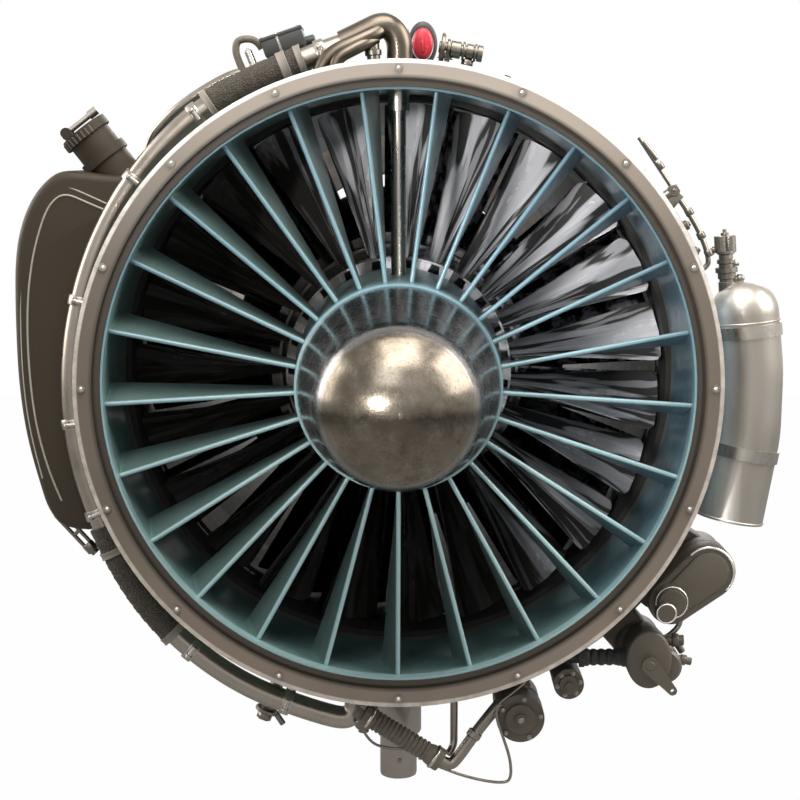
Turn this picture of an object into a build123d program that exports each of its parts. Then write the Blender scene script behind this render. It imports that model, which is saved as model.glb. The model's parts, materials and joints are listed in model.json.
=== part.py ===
from build123d import *
from math import cos, radians, sin
import os

# Small turbofan with inlet guide vanes. The origin is the centre of the inlet flange's front face.
# The engine axis is Y with the inlet towards -Y, +Z is up and +X is the right side seen from the front.
# Clock angles run clockwise from 12 o'clock, seen from the front. All sizes are in millimetres.

os.makedirs("parts", exist_ok=True)

# Fits
seat = 0.3
running = 0.05
tip_gap = 1.5
tapped = 0.05

# Inlet flange
flange_radius = 408.0
flange_thickness = 14.0
groove_outer = 384.0
groove_inner = 380.0
groove_depth = 4.0
screw_count = 16
screw_circle = 397.0
screw_radius = 3.0
screw_hole_gap = 0.3
head_radius = 5.0
head_height = 3.5

# Inlet case
duct_radius = 371.0
duct_wall = 3.0
case_outside = duct_radius + duct_wall
duct_front = 3.0
lip_radius = 404.0
lip_thickness = 8.0
inlet_rear = 205.0
joint_radius = 394.0
joint_thickness = 8.0
rib_radius = 384.0
rib_station = 60.0
rib_width = 6.0

# Inlet guide vanes
vane_count = 25
vane_front = 20.0
vane_chord = 69.0
vane_thickness = 6.0
vane_tail = 1.6
vane_tip_twist = 18.5

# Inlet hub and nose
hub_front = 2.0
hub_front_radius = 131.0
hub_rear_radius = 140.0
hub_wall = 5.0
hub_web_station = 176.0
hub_web = 6.0
nose_radius = 128.0
nose_shoulder_radius = 100.0
nose_cone_length = 189.0
nose_dome = 72.0
nose_cap_radius = 110.0
nose_back = 6.0
nose_wall = 3.0
nose_spigot = 14.0
service_tube_radius = 9.5
service_tube_station = 112.0
service_collar_radius = 14.0
service_collar_height = 24.0

# Fan
fan_blade_count = 23
fan_front = 228.0
fan_rear = 304.0
fan_rim_radius = 150.0
fan_rim_depth = 26.0
fan_bore_web = 14.0
fan_bore_hub = 20.0
root_neck = 11.0
root_base = 18.0
root_depth = 15.0
fan_start = 4.0
fan_overrun = 6.0
fan_tip_radius = 362.0
fan_root_chord = 66.0
fan_tip_chord = 82.0
fan_root_stagger = 12.0
fan_tip_stagger = 56.0
fan_blade_thickness = 7.0
fan_blade_tail = 1.4
rub_front = 226.0
rub_rear = 308.0
fan_case_rear = 420.0
fan_case_wall = 5.0
stator_count = 31
stator_front = 314.0
stator_rear = 350.0
stator_hub_radius = 168.0
stator_ring = 4.0
second_count = 29
second_front = 358.0
second_rear = 412.0
second_rim_radius = 182.0
second_tip_radius = 362.0

# Intermediate case
mid_rear = 540.0
mid_shell_radius = 364.0
mid_wall = 6.0
splitter_radius = 235.0
splitter_wall = 5.0
mid_hub_radius = 185.0
mid_hub_wall = 6.0
strut_count = 8
strut_thickness = 12.0
trunnion_station = 480.0
trunnion_radius = 22.0
trunnion_end = 445.0
trunnion_boss_radius = 36.0
trunnion_boss_end = 395.0

# Shafts and bearings
low_shaft_radius = 22.0
low_shaft_bore = 14.0
low_shaft_front = 160.0
low_shaft_rear = 1352.0
high_shaft_radius = 36.0
high_shaft_bore = 26.0
high_shaft_front = 498.0
high_shaft_rear = 1205.0
race_thickness = 5.0
roller_radius = 5.0
roller_count = 14
bearing_width = 18.0
low_front_bearing = 170.0
low_rear_bearing = 1330.0
high_front_bearing = 504.0
high_rear_bearing = 1104.0
bearing_housing_wall = 7.0

# Compressor
core_front = mid_rear
core_rear = 880.0
stage_count = 4
stage_pitch = 80.0
rotor_row_length = 34.0
stator_row_length = 26.0
row_gap = 7.0
drum_radius = 150.0
drum_wall = 10.0
core_case_front_radius = 222.0
core_case_rear_radius = 196.0
core_case_wall = 5.0
core_flange = 18.0
rotor_blade_count = 29
stator_blade_count = 33
core_blade_thickness = 3.0

# Burner
burner_rear = 1130.0
burner_radius = 232.0
burner_wall = 4.0
liner_outer_radius = 212.0
liner_inner_radius = 140.0
liner_wall = 2.5
inner_casing_radius = 112.0
fuel_nozzle_count = 12
fuel_nozzle_station = 925.0
igniter_station = 965.0
igniter_clocks = (105, 255)
boss_radius = 14.0
boss_height = 14.0
nozzle_stem = 8.0
igniter_stem = 6.0
diffuser_strut_count = 10

# Turbines
high_vane_front = 1138.0
high_vane_rear = 1164.0
high_disc_front = 1172.0
high_disc_rear = 1200.0
low_vane_front = 1212.0
low_vane_rear = 1244.0
low_disc_front = 1254.0
low_disc_rear = 1288.0
turbine_tip_radius = 212.0
turbine_hub_radius = 160.0
turbine_case_wall = 6.0
turbine_joint = 1206.0
turbine_vane_count = 27
turbine_blade_count = 41
turbine_blade_thickness = 3.0

# Bypass duct, rear frame and nozzle
bypass_front_radius = 366.0
bypass_rear_radius = 330.0
bypass_wall = 4.0
bypass_rear = 1500.0
frame_front = 1300.0
frame_rear = 1390.0
frame_strut_count = 7
frame_strut_thickness = 10.0
frame_wall = 5.0
frame_core_radius = 216.0
frame_hub_radius = 150.0
cone_rear = 1690.0
cone_wall = 3.0
nozzle_rear = 1950.0
nozzle_rear_radius = 250.0
nozzle_wall = 4.0
nozzle_flange = 24.0
nozzle_hole_count = 12
nozzle_hole_radius = 3.3
lug_width = 24.0
lug_radius = 22.0
lug_bore = 8.0
lug_height = 32.0
lug_station = 1440.0
lug_foot_length = 84.0
lug_foot_width = 70.0
lug_foot_thickness = 7.0
lug_share = (lug_station - mid_rear) / (bypass_rear - mid_rear)
lug_foot = bypass_front_radius + lug_share * (bypass_rear_radius - bypass_front_radius) + bypass_wall
lug_centre = lug_foot + lug_height

# Gearbox and what stands on it
accessory_face = 140.0
gearbox_depth = 80.0
gearbox_inner = 412.0
gearbox_outer = 500.0
gearbox_start = 117.0
gearbox_end = 184.0
gearbox_corner = 14.0
pad_clocks = (128, 170)
pad_spread = 4.0
pad_front = 10.0
pad_length = 30.0
starter_clock = 121.8
starter_circle = 475.0
starter_radius = 36.0
starter_neck_clock = 130.0
starter_neck_circle = 448.0
starter_neck_radius = 25.0
starter_length = 60.0
rim_height = 7.0
pump_clock = 138.5
pump_circle = 494.0
pump_half_width = 36.0
pump_half_height = 38.0
pump_length = 66.0
cover_height = 9.0
cover_radius = 22.0
spindle_radius = 5.0
spindle_length = 14.0
throttle_length = 44.0
throttle_thickness = 6.0
scavenge_places = ((160.3, 478, 32), (150.9, 462, 20))
scavenge_length = 44.0
scavenge_ring = 5.0
scavenge_ring_share = 0.62
scavenge_bolt = 4.0
scavenge_bolt_share = 0.24
filter_station = 185.0
filter_radius = 23.0
filter_length = 46.0
filter_screw_radius = 8.0
filter_screw_length = 7.0
union_radius = 10.0

# Oil tank and filler
tank_front = 135.0
tank_depth = 200.0
tank_inner = 397.0
tank_start = 241.0
tank_end = 310.0
tank_shoulder = 297.0
tank_shoulder_radius = 518.0
tank_side_radius = 502.0
tank_foot_radius = 480.0
tank_corner = 10.0
tank_edge = 5.0
strap_stations = (217.0, 302.0)
strap_width = 16.0
strap_thickness = 2.5
strap_pad_clocks = (252, 275, 298)
strap_pad_spread = 3.0
neck_foot_x = -356.0
neck_station = 171.0
neck_lean = 38.0
neck_radius = 29.0
neck_wall = 4.0
neck_length = 82.0
plug_depth = 24.0
cap_radius = 33.0
cap_height = 13.0
pin_height = 9.0
pin_offset = 20.0
pin_radius = 3.0
ear_gap = 18.0
ear_thickness = 4.0
ear_radius = 7.0
eye_radius = 6.0
lever_radius = 4.0
lever_length = 38.0
vent_station = 262.0
vent_radius = 8.0
drain_radius = 7.0
drain_length = 62.0
drain_nut_radius = 12.0
drain_nut = (36.0, 48.0)

# Air manifold, elbow and plug
pipe_radius = 15.0
pipe_station = 110.0
manifold_places = ((351, 446), (337, 434), (319, 434), (299, 432), (279, 429), (260, 433), (242, 450), (225, 453),
                   (208, 460), (193, 461))
manifold_bend = 110.0
sleeve_wall = 4.5
clamp_wall = 3.5
clamp_width = 16.0
clamp_places = (1.08, 1.68, 2.6, 4.9, 6.16, 7.6)
post_radius = 6.0
post_sink = 4.0
elbow_radius = 19.0
elbow_x = -4.5
elbow_bend = 26.0
plug_radius = 16.0
plug_ring_wall = 5.0
plug_length = 36.0
plug_rear = 172.0
plug_floor = 4.0
plug_clock = 4.2
plug_circle = 428.0

# Ignition box, unions and sensing pipe
box_clock = 339.5
box_circle = 455.0
box_width = 82.0
box_height = 36.0
box_length = 62.0
box_rear = 196.0
lead_radius = 4.0
union_places = ((9, 434, 112), (13.5, 434, 112), (20.5, 426, 118), (350.5, 452, 150), (48, 432, 140),
                (61, 430, 140), (201, 482, 152))
union_stub = 7.0
union_nut_length = 16.0
union_nut_gap = 8.0
sensing_radius = 5.0

# Bottle at the right
bottle_radius = 44.5
bottle_station = 130.0
bottle_places = ((453, 84), (460, 10), (458, -75), (437, -188))
bottle_bend = 220.0
bottle_strap_places = (0.3, 2.2)
bottle_post_radius = 8.0
bottle_post_lean = 0.8
bottle_valve_x = 438.0
bottle_valve_z = 194.0
valve_radius = 8.0
valve_length = 66.0
valve_nut_radius = 16.0
valve_nut = (10.0, 26.0)
valve_collar_radius = 13.0
valve_collar = (30.0, 44.0)
valve_port_radius = 5.0
valve_port_length = 24.0

# Corrugated hoses, polished tube and thin loop below
hose_places = ((Vector(-38, 90, -446), Vector(54, 90, -510), 14.0), (Vector(231, 100, -370), Vector(288, 100, -356), 10.0))
hose_ferrule_length = 10.0
hose_ferrule_wall = 2.0
hose_rib_pitch = 8.0
hose_rib_width = 4.0
hose_rib_height = 2.0
polished_radius = 8.0
polished_lead = 22.0
polished_bend = 12.0
loop_radius = 4.0
loop_bend = 9.0
loop_lead = 26.0
loop_places = ((64, 110, -528), (110, 108, -536), (152, 108, -522))
loop_start_x = 34.0
loop_start_z = -484.0


def polar(radius, clock):
    """Point across the axis at a clock angle, as (X, Z)."""
    return (radius * sin(radians(clock)), radius * cos(radians(clock)))


def at(clock, radius, station):
    """Point in space at a clock angle, a radius and a station along the axis."""
    x, z = polar(radius, clock)
    return Vector(x, station, z)


def across(station):
    """Plane across the axis that faces forward, with X to the right and Z up."""
    return Plane(origin=(0, station, 0), x_dir=(1, 0, 0), z_dir=(0, -1, 0))


def around(count, start=0.0):
    """Turned places, evenly spaced about the engine axis."""
    return Locations(*[Location((0, 0, 0), (0, start + i * 360 / count, 0)) for i in range(count)])


def band(front, rear, inner, outer):
    """Square outline of a ring."""
    return [(front, inner), (rear, inner), (rear, outer), (front, outer)]


def walled(path, wall):
    """Outline of an even wall outside a path of (station, radius) points."""
    return [*path, *[(y, r + wall) for y, r in reversed(path)]]


def turned(outline, mode=Mode.ADD):
    """Revolve an outline of (station, radius) points about the engine axis."""
    with BuildSketch(Plane.YZ) as profile:
        with BuildLine():
            Polyline(*outline, close=True)
        make_face()
    revolve(profile.sketch, axis=Axis.Y, mode=mode)


def bar(start, end, radius, mode=Mode.ADD):
    """Round bar from one point to another."""
    run = end - start
    with BuildSketch(Plane(origin=start, z_dir=run)) as profile:
        Circle(radius)
    extrude(profile.sketch, amount=run.length, mode=mode)


def hex_bar(start, end, radius):
    """Six-sided bar from one point to another."""
    run = end - start
    with BuildSketch(Plane(origin=start, z_dir=run)) as profile:
        RegularPolygon(radius, 6)
    extrude(profile.sketch, amount=run.length)


def disc(clock, circle, face, height, radius, mode=Mode.ADD):
    """Round boss that stands forward from a face across the axis."""
    with BuildSketch(across(face)) as profile:
        with Locations(polar(circle, clock)):
            Circle(radius)
    extrude(profile.sketch, amount=height, mode=mode)


def tube_run(points, bend, radius, mode=Mode.ADD):
    """Round tube along straight runs joined by tangent arcs."""
    with BuildLine() as route:
        FilletPolyline(*points, radius=bend)
    with BuildSketch(Plane(origin=route.line @ 0, z_dir=route.line % 0)) as profile:
        Circle(radius)
    sweep(profile.sketch, path=route.line, mode=mode)


def blade_section(height, nose, chord, stagger, thickness, tail, camber=0.0):
    """One blade section square to the blade's length, with its nose forward."""
    angle = radians(stagger)

    def place(along, aside):
        return (
            nose[0] - along * sin(angle) + aside * cos(angle),
            nose[1] + along * cos(angle) + aside * sin(angle),
        )

    half = thickness / 2
    with BuildSketch(Plane.XY.offset(height)) as section:
        with BuildLine():
            ThreePointArc(place(half, -half), place(0, 0), place(half, half))
            if camber:
                ThreePointArc(place(half, half), place(chord / 2, camber + half), place(chord, tail / 2))
            else:
                Line(place(half, half), place(chord, tail / 2))
            Line(place(chord, tail / 2), place(chord, -tail / 2))
            if camber:
                ThreePointArc(place(chord, -tail / 2), place(chord / 2, camber - half), place(half, -half))
            else:
                Line(place(chord, -tail / 2), place(half, -half))
        make_face()
    return section.sketch


def flat_blade(inner, outer, front, rear, stagger, thickness):
    """Plain blade for the hidden rows, a slab leaned by its stagger."""
    middle = (front + rear) / 2
    chord = (rear - front) / cos(radians(stagger)) - thickness
    with BuildPart() as one:
        with BuildSketch(Plane.XY.offset(inner)) as section:
            with Locations(Location((0, middle, 0), (0, 0, stagger))):
                Rectangle(thickness, chord)
        extrude(section.sketch, amount=outer - inner)
    return one.part


def ring_sector(inner, outer, start, end):
    """Face of a ring sector between two clock angles."""
    middle = (start + end) / 2
    with BuildSketch() as face:
        with BuildLine():
            ThreePointArc(polar(outer, start), polar(outer, middle), polar(outer, end))
            Line(polar(outer, end), polar(inner, end))
            ThreePointArc(polar(inner, end), polar(inner, middle), polar(inner, start))
            Line(polar(inner, start), polar(outer, start))
        make_face()
    return face.sketch


def write(piece, label):
    """Label a finished piece and write its file."""
    piece.part.label = label
    export_step(piece.part, f"parts/{label}.step")


# Inlet flange ring, with the seal groove in its front face
ring_bore = duct_radius + duct_wall + seat
with BuildPart() as inlet_flange_ring:
    turned(band(0, flange_thickness, ring_bore, flange_radius))
    turned(band(0, groove_depth, groove_inner, groove_outer), Mode.SUBTRACT)
    with BuildSketch(across(flange_thickness)):
        with PolarLocations(screw_circle, screw_count, start_angle=90):
            Circle(screw_radius + screw_hole_gap)
    extrude(amount=flange_thickness, mode=Mode.SUBTRACT)
write(inlet_flange_ring, "inlet_flange_ring")

# Flange screws
screw_length = flange_thickness + lip_thickness
with BuildPart() as one_screw:
    disc(0, screw_circle, 0, head_height, head_radius)
    disc(0, screw_circle, screw_length, screw_length, screw_radius)
with BuildPart() as flange_screws:
    with around(screw_count):
        add(one_screw.part)
write(flange_screws, "flange_screws")

# Inlet case: duct wall, front lip behind the flange ring, stiffening rib and rear joint flange
with BuildPart() as inlet_case:
    turned(band(duct_front, inlet_rear, duct_radius, duct_radius + duct_wall))
    turned(band(flange_thickness, screw_length, duct_radius + duct_wall, lip_radius))
    turned(band(rib_station, rib_station + rib_width, duct_radius + duct_wall, rib_radius))
    turned(band(inlet_rear - joint_thickness, inlet_rear, duct_radius + duct_wall, joint_radius))
    with BuildSketch(across(screw_length)):
        with PolarLocations(screw_circle, screw_count, start_angle=90):
            Circle(screw_radius + tapped)
    extrude(amount=lip_thickness, mode=Mode.SUBTRACT)
    bar(at(0, duct_radius - 5, service_tube_station), at(0, rib_radius + 20, service_tube_station),
        service_tube_radius + seat, Mode.SUBTRACT)
write(inlet_case, "inlet_case")

# Inlet hub: tapered fairing, web and front bearing housing
hub_path = [(hub_front, hub_front_radius - hub_wall), (inlet_rear, hub_rear_radius - hub_wall)]
front_journal = low_shaft_radius
front_race_outer = front_journal + 2 * race_thickness + 2 * roller_radius
with BuildPart() as inlet_hub:
    turned(walled(hub_path, hub_wall))
    turned(band(hub_web_station, hub_web_station + hub_web, front_race_outer + seat, hub_rear_radius - hub_wall))
    turned(band(low_front_bearing, low_front_bearing + bearing_width, front_race_outer + seat,
                front_race_outer + bearing_housing_wall))
    bar(at(0, hub_front_radius - 20, service_tube_station), at(0, hub_rear_radius + 20, service_tube_station),
        service_tube_radius + seat, Mode.SUBTRACT)
write(inlet_hub, "inlet_hub")

# Inlet guide vanes: straight front edges, twisted towards the tip
vane_trim = [
    (hub_front, hub_front_radius + seat),
    (inlet_rear, hub_rear_radius + seat),
    (inlet_rear, duct_radius - seat),
    (hub_front, duct_radius - seat),
]
with BuildPart() as guide_vane:
    loft([
        blade_section(hub_front_radius - 8, (0, vane_front), vane_chord, 0, vane_thickness, vane_tail),
        blade_section((hub_front_radius + duct_radius) / 2, (0, vane_front), vane_chord, -vane_tip_twist / 2,
                      vane_thickness, vane_tail),
        blade_section(duct_radius + 5, (0, vane_front), vane_chord, -vane_tip_twist, vane_thickness, vane_tail),
    ], ruled=True)
    turned(vane_trim, Mode.INTERSECT)
with BuildPart() as inlet_guide_vanes:
    with around(vane_count, 180):
        add(guide_vane.part)
write(inlet_guide_vanes, "inlet_guide_vanes")

# Service tube from the case to the hub, between two vanes
with BuildPart() as service_tube:
    bar(at(0, hub_front_radius, service_tube_station), at(0, case_outside, service_tube_station), service_tube_radius)
    bar(at(0, duct_radius - seat - service_collar_height, service_tube_station),
        at(0, duct_radius - seat, service_tube_station), service_collar_radius)
write(service_tube, "service_tube")

# Nose bullet: spun shell with a spigot in the hub
nose_front = -nose_cone_length - nose_dome
nose_rear = hub_front - seat
shoulder_point = Vector(-nose_cone_length, nose_shoulder_radius)
cone_run = (shoulder_point - Vector(nose_rear, nose_radius)).normalized()
cone_inward = Vector(-cone_run.Y, cone_run.X)
cap_centre = Vector(nose_front + nose_cap_radius, 0)
cap_offset = shoulder_point - cap_centre
shoulder_radius = (nose_cap_radius**2 - cap_offset.dot(cap_offset)) / (
    2 * (nose_cap_radius + cap_offset.dot(cone_inward)))
cap_run = (shoulder_point + cone_inward * shoulder_radius - cap_centre).normalized()


def nose_half(inset):
    """Half outline of the nose, drawn in by a wall: cone, shoulder arc and blunt cap, all tangent."""
    with BuildSketch(Plane.YZ) as half:
        with BuildLine():
            cone = Line((nose_rear, nose_radius - inset), shoulder_point + cone_inward * inset)
            shoulder = TangentArc(cone @ 1, cap_centre + cap_run * (nose_cap_radius - inset), tangent=cone_run)
            cap = TangentArc(shoulder @ 1, (nose_front + inset, 0), tangent=shoulder % 1)
            Polyline(cap @ 1, (nose_rear, 0), cone @ 0)
        make_face()
    return half.sketch


spigot_radius = hub_front_radius - hub_wall - seat
with BuildPart() as nose_bullet:
    revolve(nose_half(0), axis=Axis.Y)
    revolve(nose_half(nose_wall), axis=Axis.Y, mode=Mode.SUBTRACT)
    turned(band(nose_rear - nose_back, hub_front + nose_spigot, nose_radius - nose_back - nose_wall, spigot_radius))
write(nose_bullet, "nose_bullet")

# Fan case and its rub strip
strip_outer = duct_radius - seat
with BuildPart() as fan_case:
    turned(band(inlet_rear, fan_case_rear, duct_radius, duct_radius + fan_case_wall))
    turned(band(stator_rear + seat, fan_case_rear, mid_shell_radius, duct_radius))
    for front in (inlet_rear, fan_case_rear - joint_thickness):
        turned(band(front, front + joint_thickness, duct_radius, joint_radius))
write(fan_case, "fan_case")
with BuildPart() as rub_strip:
    turned(band(rub_front, rub_rear, fan_tip_radius + tip_gap, strip_outer))
write(rub_strip, "rub_strip")

# Fan rotor, first stage: disc with one dovetail slot for each wide blade
fan_middle = (fan_front + fan_rear) / 2


def dovetail(gap, rise):
    """Blade root along the axis, wider at its foot, with an even gap all round it."""
    foot = fan_rim_radius - root_depth - gap
    top = fan_rim_radius + rise
    with BuildSketch(across(fan_rear)) as section:
        with BuildLine():
            Polyline((-root_base / 2 - gap, foot), (root_base / 2 + gap, foot), (root_neck / 2 + gap, top),
                     (-root_neck / 2 - gap, top), close=True)
        make_face()
    with BuildPart() as root:
        extrude(section.sketch, amount=fan_rear - fan_front)
    return root.part


with BuildPart() as fan_disc:
    turned(band(fan_front, fan_rear, fan_rim_radius - fan_rim_depth, fan_rim_radius))
    turned(band(fan_middle - fan_bore_web / 2, fan_middle + fan_bore_web / 2, low_shaft_radius,
                fan_rim_radius - fan_rim_depth))
    turned(band(fan_middle - fan_bore_web, fan_middle + fan_bore_web, low_shaft_radius,
                low_shaft_radius + fan_bore_hub))
    with around(fan_blade_count, fan_start):
        add(dovetail(running, 1), mode=Mode.SUBTRACT)
write(fan_disc, "fan_disc")


def fan_section(share):
    """Fan blade section at a share of the span, from root to tip."""
    height = fan_rim_radius - fan_overrun + share * (fan_tip_radius - fan_rim_radius + 2 * fan_overrun)
    chord = fan_root_chord + share * (fan_tip_chord - fan_root_chord)
    stagger = fan_root_stagger + share * (fan_tip_stagger - fan_root_stagger)
    nose = (chord / 2 * sin(radians(stagger)), fan_middle - chord / 2 * cos(radians(stagger)))
    return blade_section(height, nose, chord, stagger, fan_blade_thickness * (1 - 0.5 * share), fan_blade_tail,
                         6.0 - 4.0 * share)


with BuildPart() as fan_blade:
    loft([fan_section(0), fan_section(0.35), fan_section(0.7), fan_section(1)], ruled=True)
    turned(band(fan_front, fan_rear, fan_rim_radius + seat, fan_tip_radius), Mode.INTERSECT)
    add(dovetail(0, seat))
with BuildPart() as fan_blades:
    with around(fan_blade_count, fan_start):
        add(fan_blade.part)
write(fan_blades, "fan_blades")

# Fan stator: one ring of vanes between two rings
with BuildPart() as fan_stator:
    turned(band(stator_front, stator_rear, strip_outer - stator_ring, strip_outer))
    turned(band(stator_front, stator_rear, stator_hub_radius - stator_ring, stator_hub_radius))
    with around(stator_count):
        add(flat_blade(stator_hub_radius - 1, strip_outer - stator_ring + 1, stator_front + 2, stator_rear - 2, -14, 3))
write(fan_stator, "fan_stator")

# Second fan stage: disc and blades in one
with BuildPart() as second_fan:
    turned(band(second_front, second_rear, second_rim_radius - 12, second_rim_radius))
    turned(band((second_front + second_rear) / 2 - 6, (second_front + second_rear) / 2 + 6, low_shaft_radius,
                second_rim_radius - 12))
    with around(second_count):
        add(flat_blade(second_rim_radius - 1, second_tip_radius - 1, second_front + 2, second_rear - 2, 38, 4))
write(second_fan, "second_fan")

# Intermediate case: shell, splitter, hub, struts and side trunnions
high_race_outer = high_shaft_radius + 2 * race_thickness + 2 * roller_radius
with BuildPart() as intermediate_case:
    turned(band(fan_case_rear, mid_rear, mid_shell_radius, mid_shell_radius + mid_wall))
    for front in (fan_case_rear, mid_rear - joint_thickness):
        turned(band(front, front + joint_thickness, mid_shell_radius + mid_wall, joint_radius))
    turned(band(fan_case_rear + 8, mid_rear, splitter_radius, splitter_radius + splitter_wall))
    turned(band(fan_case_rear, mid_rear, mid_hub_radius - mid_hub_wall, mid_hub_radius))
    turned(band(high_front_bearing, high_front_bearing + 8, high_race_outer + seat, mid_hub_radius - mid_hub_wall))
    turned(band(high_front_bearing, high_front_bearing + bearing_width, high_race_outer + seat,
                high_race_outer + bearing_housing_wall))
    with around(strut_count, 22.5):
        add(flat_blade(mid_hub_radius - 1, mid_shell_radius + 1, fan_case_rear + 14, mid_rear - 8, 0, strut_thickness))
    for side in (90, 270):
        bar(at(side, mid_shell_radius + 2, trunnion_station), at(side, trunnion_boss_end, trunnion_station),
            trunnion_boss_radius)
        bar(at(side, trunnion_boss_end - 1, trunnion_station), at(side, trunnion_end, trunnion_station),
            trunnion_radius)
write(intermediate_case, "intermediate_case")

# Shafts
with BuildPart() as low_shaft:
    turned(band(low_shaft_front, low_shaft_rear, low_shaft_bore, low_shaft_radius - seat))
write(low_shaft, "low_shaft")

# Compressor rotor: front stub, drum with blade rows, and the shaft back to the turbine
case_slope = (core_case_rear_radius - core_case_front_radius) / (core_rear - core_front)


def case_radius(station):
    """Inside radius of the compressor case at a station."""
    return core_case_front_radius + case_slope * (station - core_front)


with BuildPart() as compressor_rotor:
    turned(band(high_shaft_front, high_shaft_rear, high_shaft_bore, high_shaft_radius - seat))
    turned(band(core_front + 6, core_rear - 6, drum_radius - drum_wall, drum_radius))
    for front in (core_front + 6, core_rear - 18):
        turned(band(front, front + 12, high_shaft_radius - 1, drum_radius - 1))
    for stage in range(stage_count):
        front = core_front + row_gap + stage * stage_pitch
        tip = case_radius(front + rotor_row_length) - tip_gap
        with around(rotor_blade_count):
            add(flat_blade(drum_radius - 1, tip, front, front + rotor_row_length, 35, core_blade_thickness))
write(compressor_rotor, "compressor_rotor")

# Compressor case with its stator rows
with BuildPart() as compressor_case:
    turned(walled([(core_front, core_case_front_radius), (core_rear, core_case_rear_radius)], core_case_wall))
    turned(band(core_front, core_front + joint_thickness, core_case_front_radius + 1,
                core_case_front_radius + core_flange))
    for stage in range(stage_count):
        front = core_front + 2 * row_gap + rotor_row_length + stage * stage_pitch
        with around(stator_blade_count):
            add(flat_blade(drum_radius + tip_gap, case_radius(front) + 2, front, front + stator_row_length, -25,
                           core_blade_thickness))
write(compressor_case, "compressor_case")

# Burner: outer and inner casings joined by diffuser struts, with bosses for the nozzles and igniters
boss_places = [(fuel_nozzle_station, i * 360 / fuel_nozzle_count, nozzle_stem) for i in range(fuel_nozzle_count)]
boss_places += [(igniter_station, clock, igniter_stem) for clock in igniter_clocks]
with BuildPart() as burner_case:
    turned(walled([(core_rear, core_case_rear_radius), (core_rear + 30, burner_radius), (burner_rear, burner_radius)],
                  burner_wall))
    turned(band(core_rear + 4, burner_rear, inner_casing_radius - burner_wall, inner_casing_radius))
    turned(band(high_rear_bearing, high_rear_bearing + 8, high_race_outer + seat, inner_casing_radius - burner_wall))
    turned(band(high_rear_bearing, high_rear_bearing + bearing_width, high_race_outer + seat,
                high_race_outer + bearing_housing_wall))
    with around(diffuser_strut_count):
        add(flat_blade(inner_casing_radius - 1, core_case_rear_radius + 3, core_rear + 6, core_rear + 30, 0, 5))
    for station, clock, stem in boss_places:
        bar(at(clock, burner_radius + 1, station), at(clock, burner_radius + boss_height, station), boss_radius)
        bar(at(clock, burner_radius - 8, station), at(clock, burner_radius + boss_height + 1, station), stem + seat,
            Mode.SUBTRACT)
write(burner_case, "burner_case")

liner_front = core_rear + 40
liner_head = liner_front + 10
with BuildPart() as burner_liner:
    turned(band(liner_front, burner_rear, liner_outer_radius - liner_wall, liner_outer_radius))
    turned(band(liner_front, burner_rear, liner_inner_radius, liner_inner_radius + liner_wall))
    turned(band(liner_front, liner_head, liner_inner_radius, liner_outer_radius))
write(burner_liner, "burner_liner")


def stems(places, stem, head):
    """Stems that pass through the case bosses down to the liner, each with a head on its boss."""
    with BuildPart() as group:
        for station, clock, radius in places:
            if radius == stem:
                top = burner_radius + boss_height
                bar(at(clock, liner_outer_radius + 1, station), at(clock, top + 1, station), stem)
                bar(at(clock, top, station), at(clock, top + head, station), stem + 3)
    return group


fuel_nozzles = stems(boss_places, nozzle_stem, 16)
write(fuel_nozzles, "fuel_nozzles")
igniters = stems(boss_places, igniter_stem, 22)
write(igniters, "igniters")

# Turbines: two rows of nozzle vanes in their rings, and two bladed discs


def vane_ring(front, rear, case_front, case_rear, flange):
    """Ring of turbine nozzle vanes with its length of the turbine case."""
    with BuildPart() as row:
        turned(band(case_front, case_rear, turbine_tip_radius, turbine_tip_radius + turbine_case_wall))
        turned(band(case_front, case_front + turbine_case_wall, turbine_tip_radius + 1, flange))
        turned(band(front, rear, turbine_hub_radius - 4, turbine_hub_radius))
        with around(turbine_vane_count):
            add(flat_blade(turbine_hub_radius - 1, turbine_tip_radius + 1, front + 2, rear - 2, 40, 4))
    return row


def bladed_disc(front, rear, bore):
    """Turbine disc with its blades."""
    with BuildPart() as row:
        turned(band(front, rear, turbine_hub_radius - 14, turbine_hub_radius))
        turned(band((front + rear) / 2 - 6, (front + rear) / 2 + 6, bore, turbine_hub_radius - 14))
        with around(turbine_blade_count):
            add(flat_blade(turbine_hub_radius - 1, turbine_tip_radius - tip_gap, front + 2, rear - 2, -45,
                           turbine_blade_thickness))
    return row


high_nozzle_vanes = vane_ring(high_vane_front, high_vane_rear, burner_rear, turbine_joint, burner_radius + burner_wall)
write(high_nozzle_vanes, "high_nozzle_vanes")
high_turbine = bladed_disc(high_disc_front, high_disc_rear, high_shaft_radius)
write(high_turbine, "high_turbine")
low_nozzle_vanes = vane_ring(low_vane_front, low_vane_rear, turbine_joint, frame_front,
                            turbine_tip_radius + 2 * turbine_case_wall)
write(low_nozzle_vanes, "low_nozzle_vanes")
low_turbine = bladed_disc(low_disc_front, low_disc_rear, low_shaft_radius)
write(low_turbine, "low_turbine")

# Bearings: races and rollers of the four shaft bearings


def bearing_rings(places, inner_gap, low, high):
    """Rings of equal width at several stations, between two offsets from the journal."""
    with BuildPart() as rings:
        for station, journal in places:
            turned(band(station, station + bearing_width, journal + low + inner_gap, journal + high))
    return rings


low_places = [(low_front_bearing, low_shaft_radius), (low_rear_bearing, low_shaft_radius)]
high_places = [(high_front_bearing, high_shaft_radius), (high_rear_bearing, high_shaft_radius)]
outer_low = race_thickness + 2 * roller_radius
write(bearing_rings(low_places, 0, 0, race_thickness - running), "low_inner_races")
write(bearing_rings(high_places, 0, 0, race_thickness - running), "high_inner_races")
write(bearing_rings(low_places + high_places, running, outer_low, outer_low + race_thickness), "outer_races")

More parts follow.
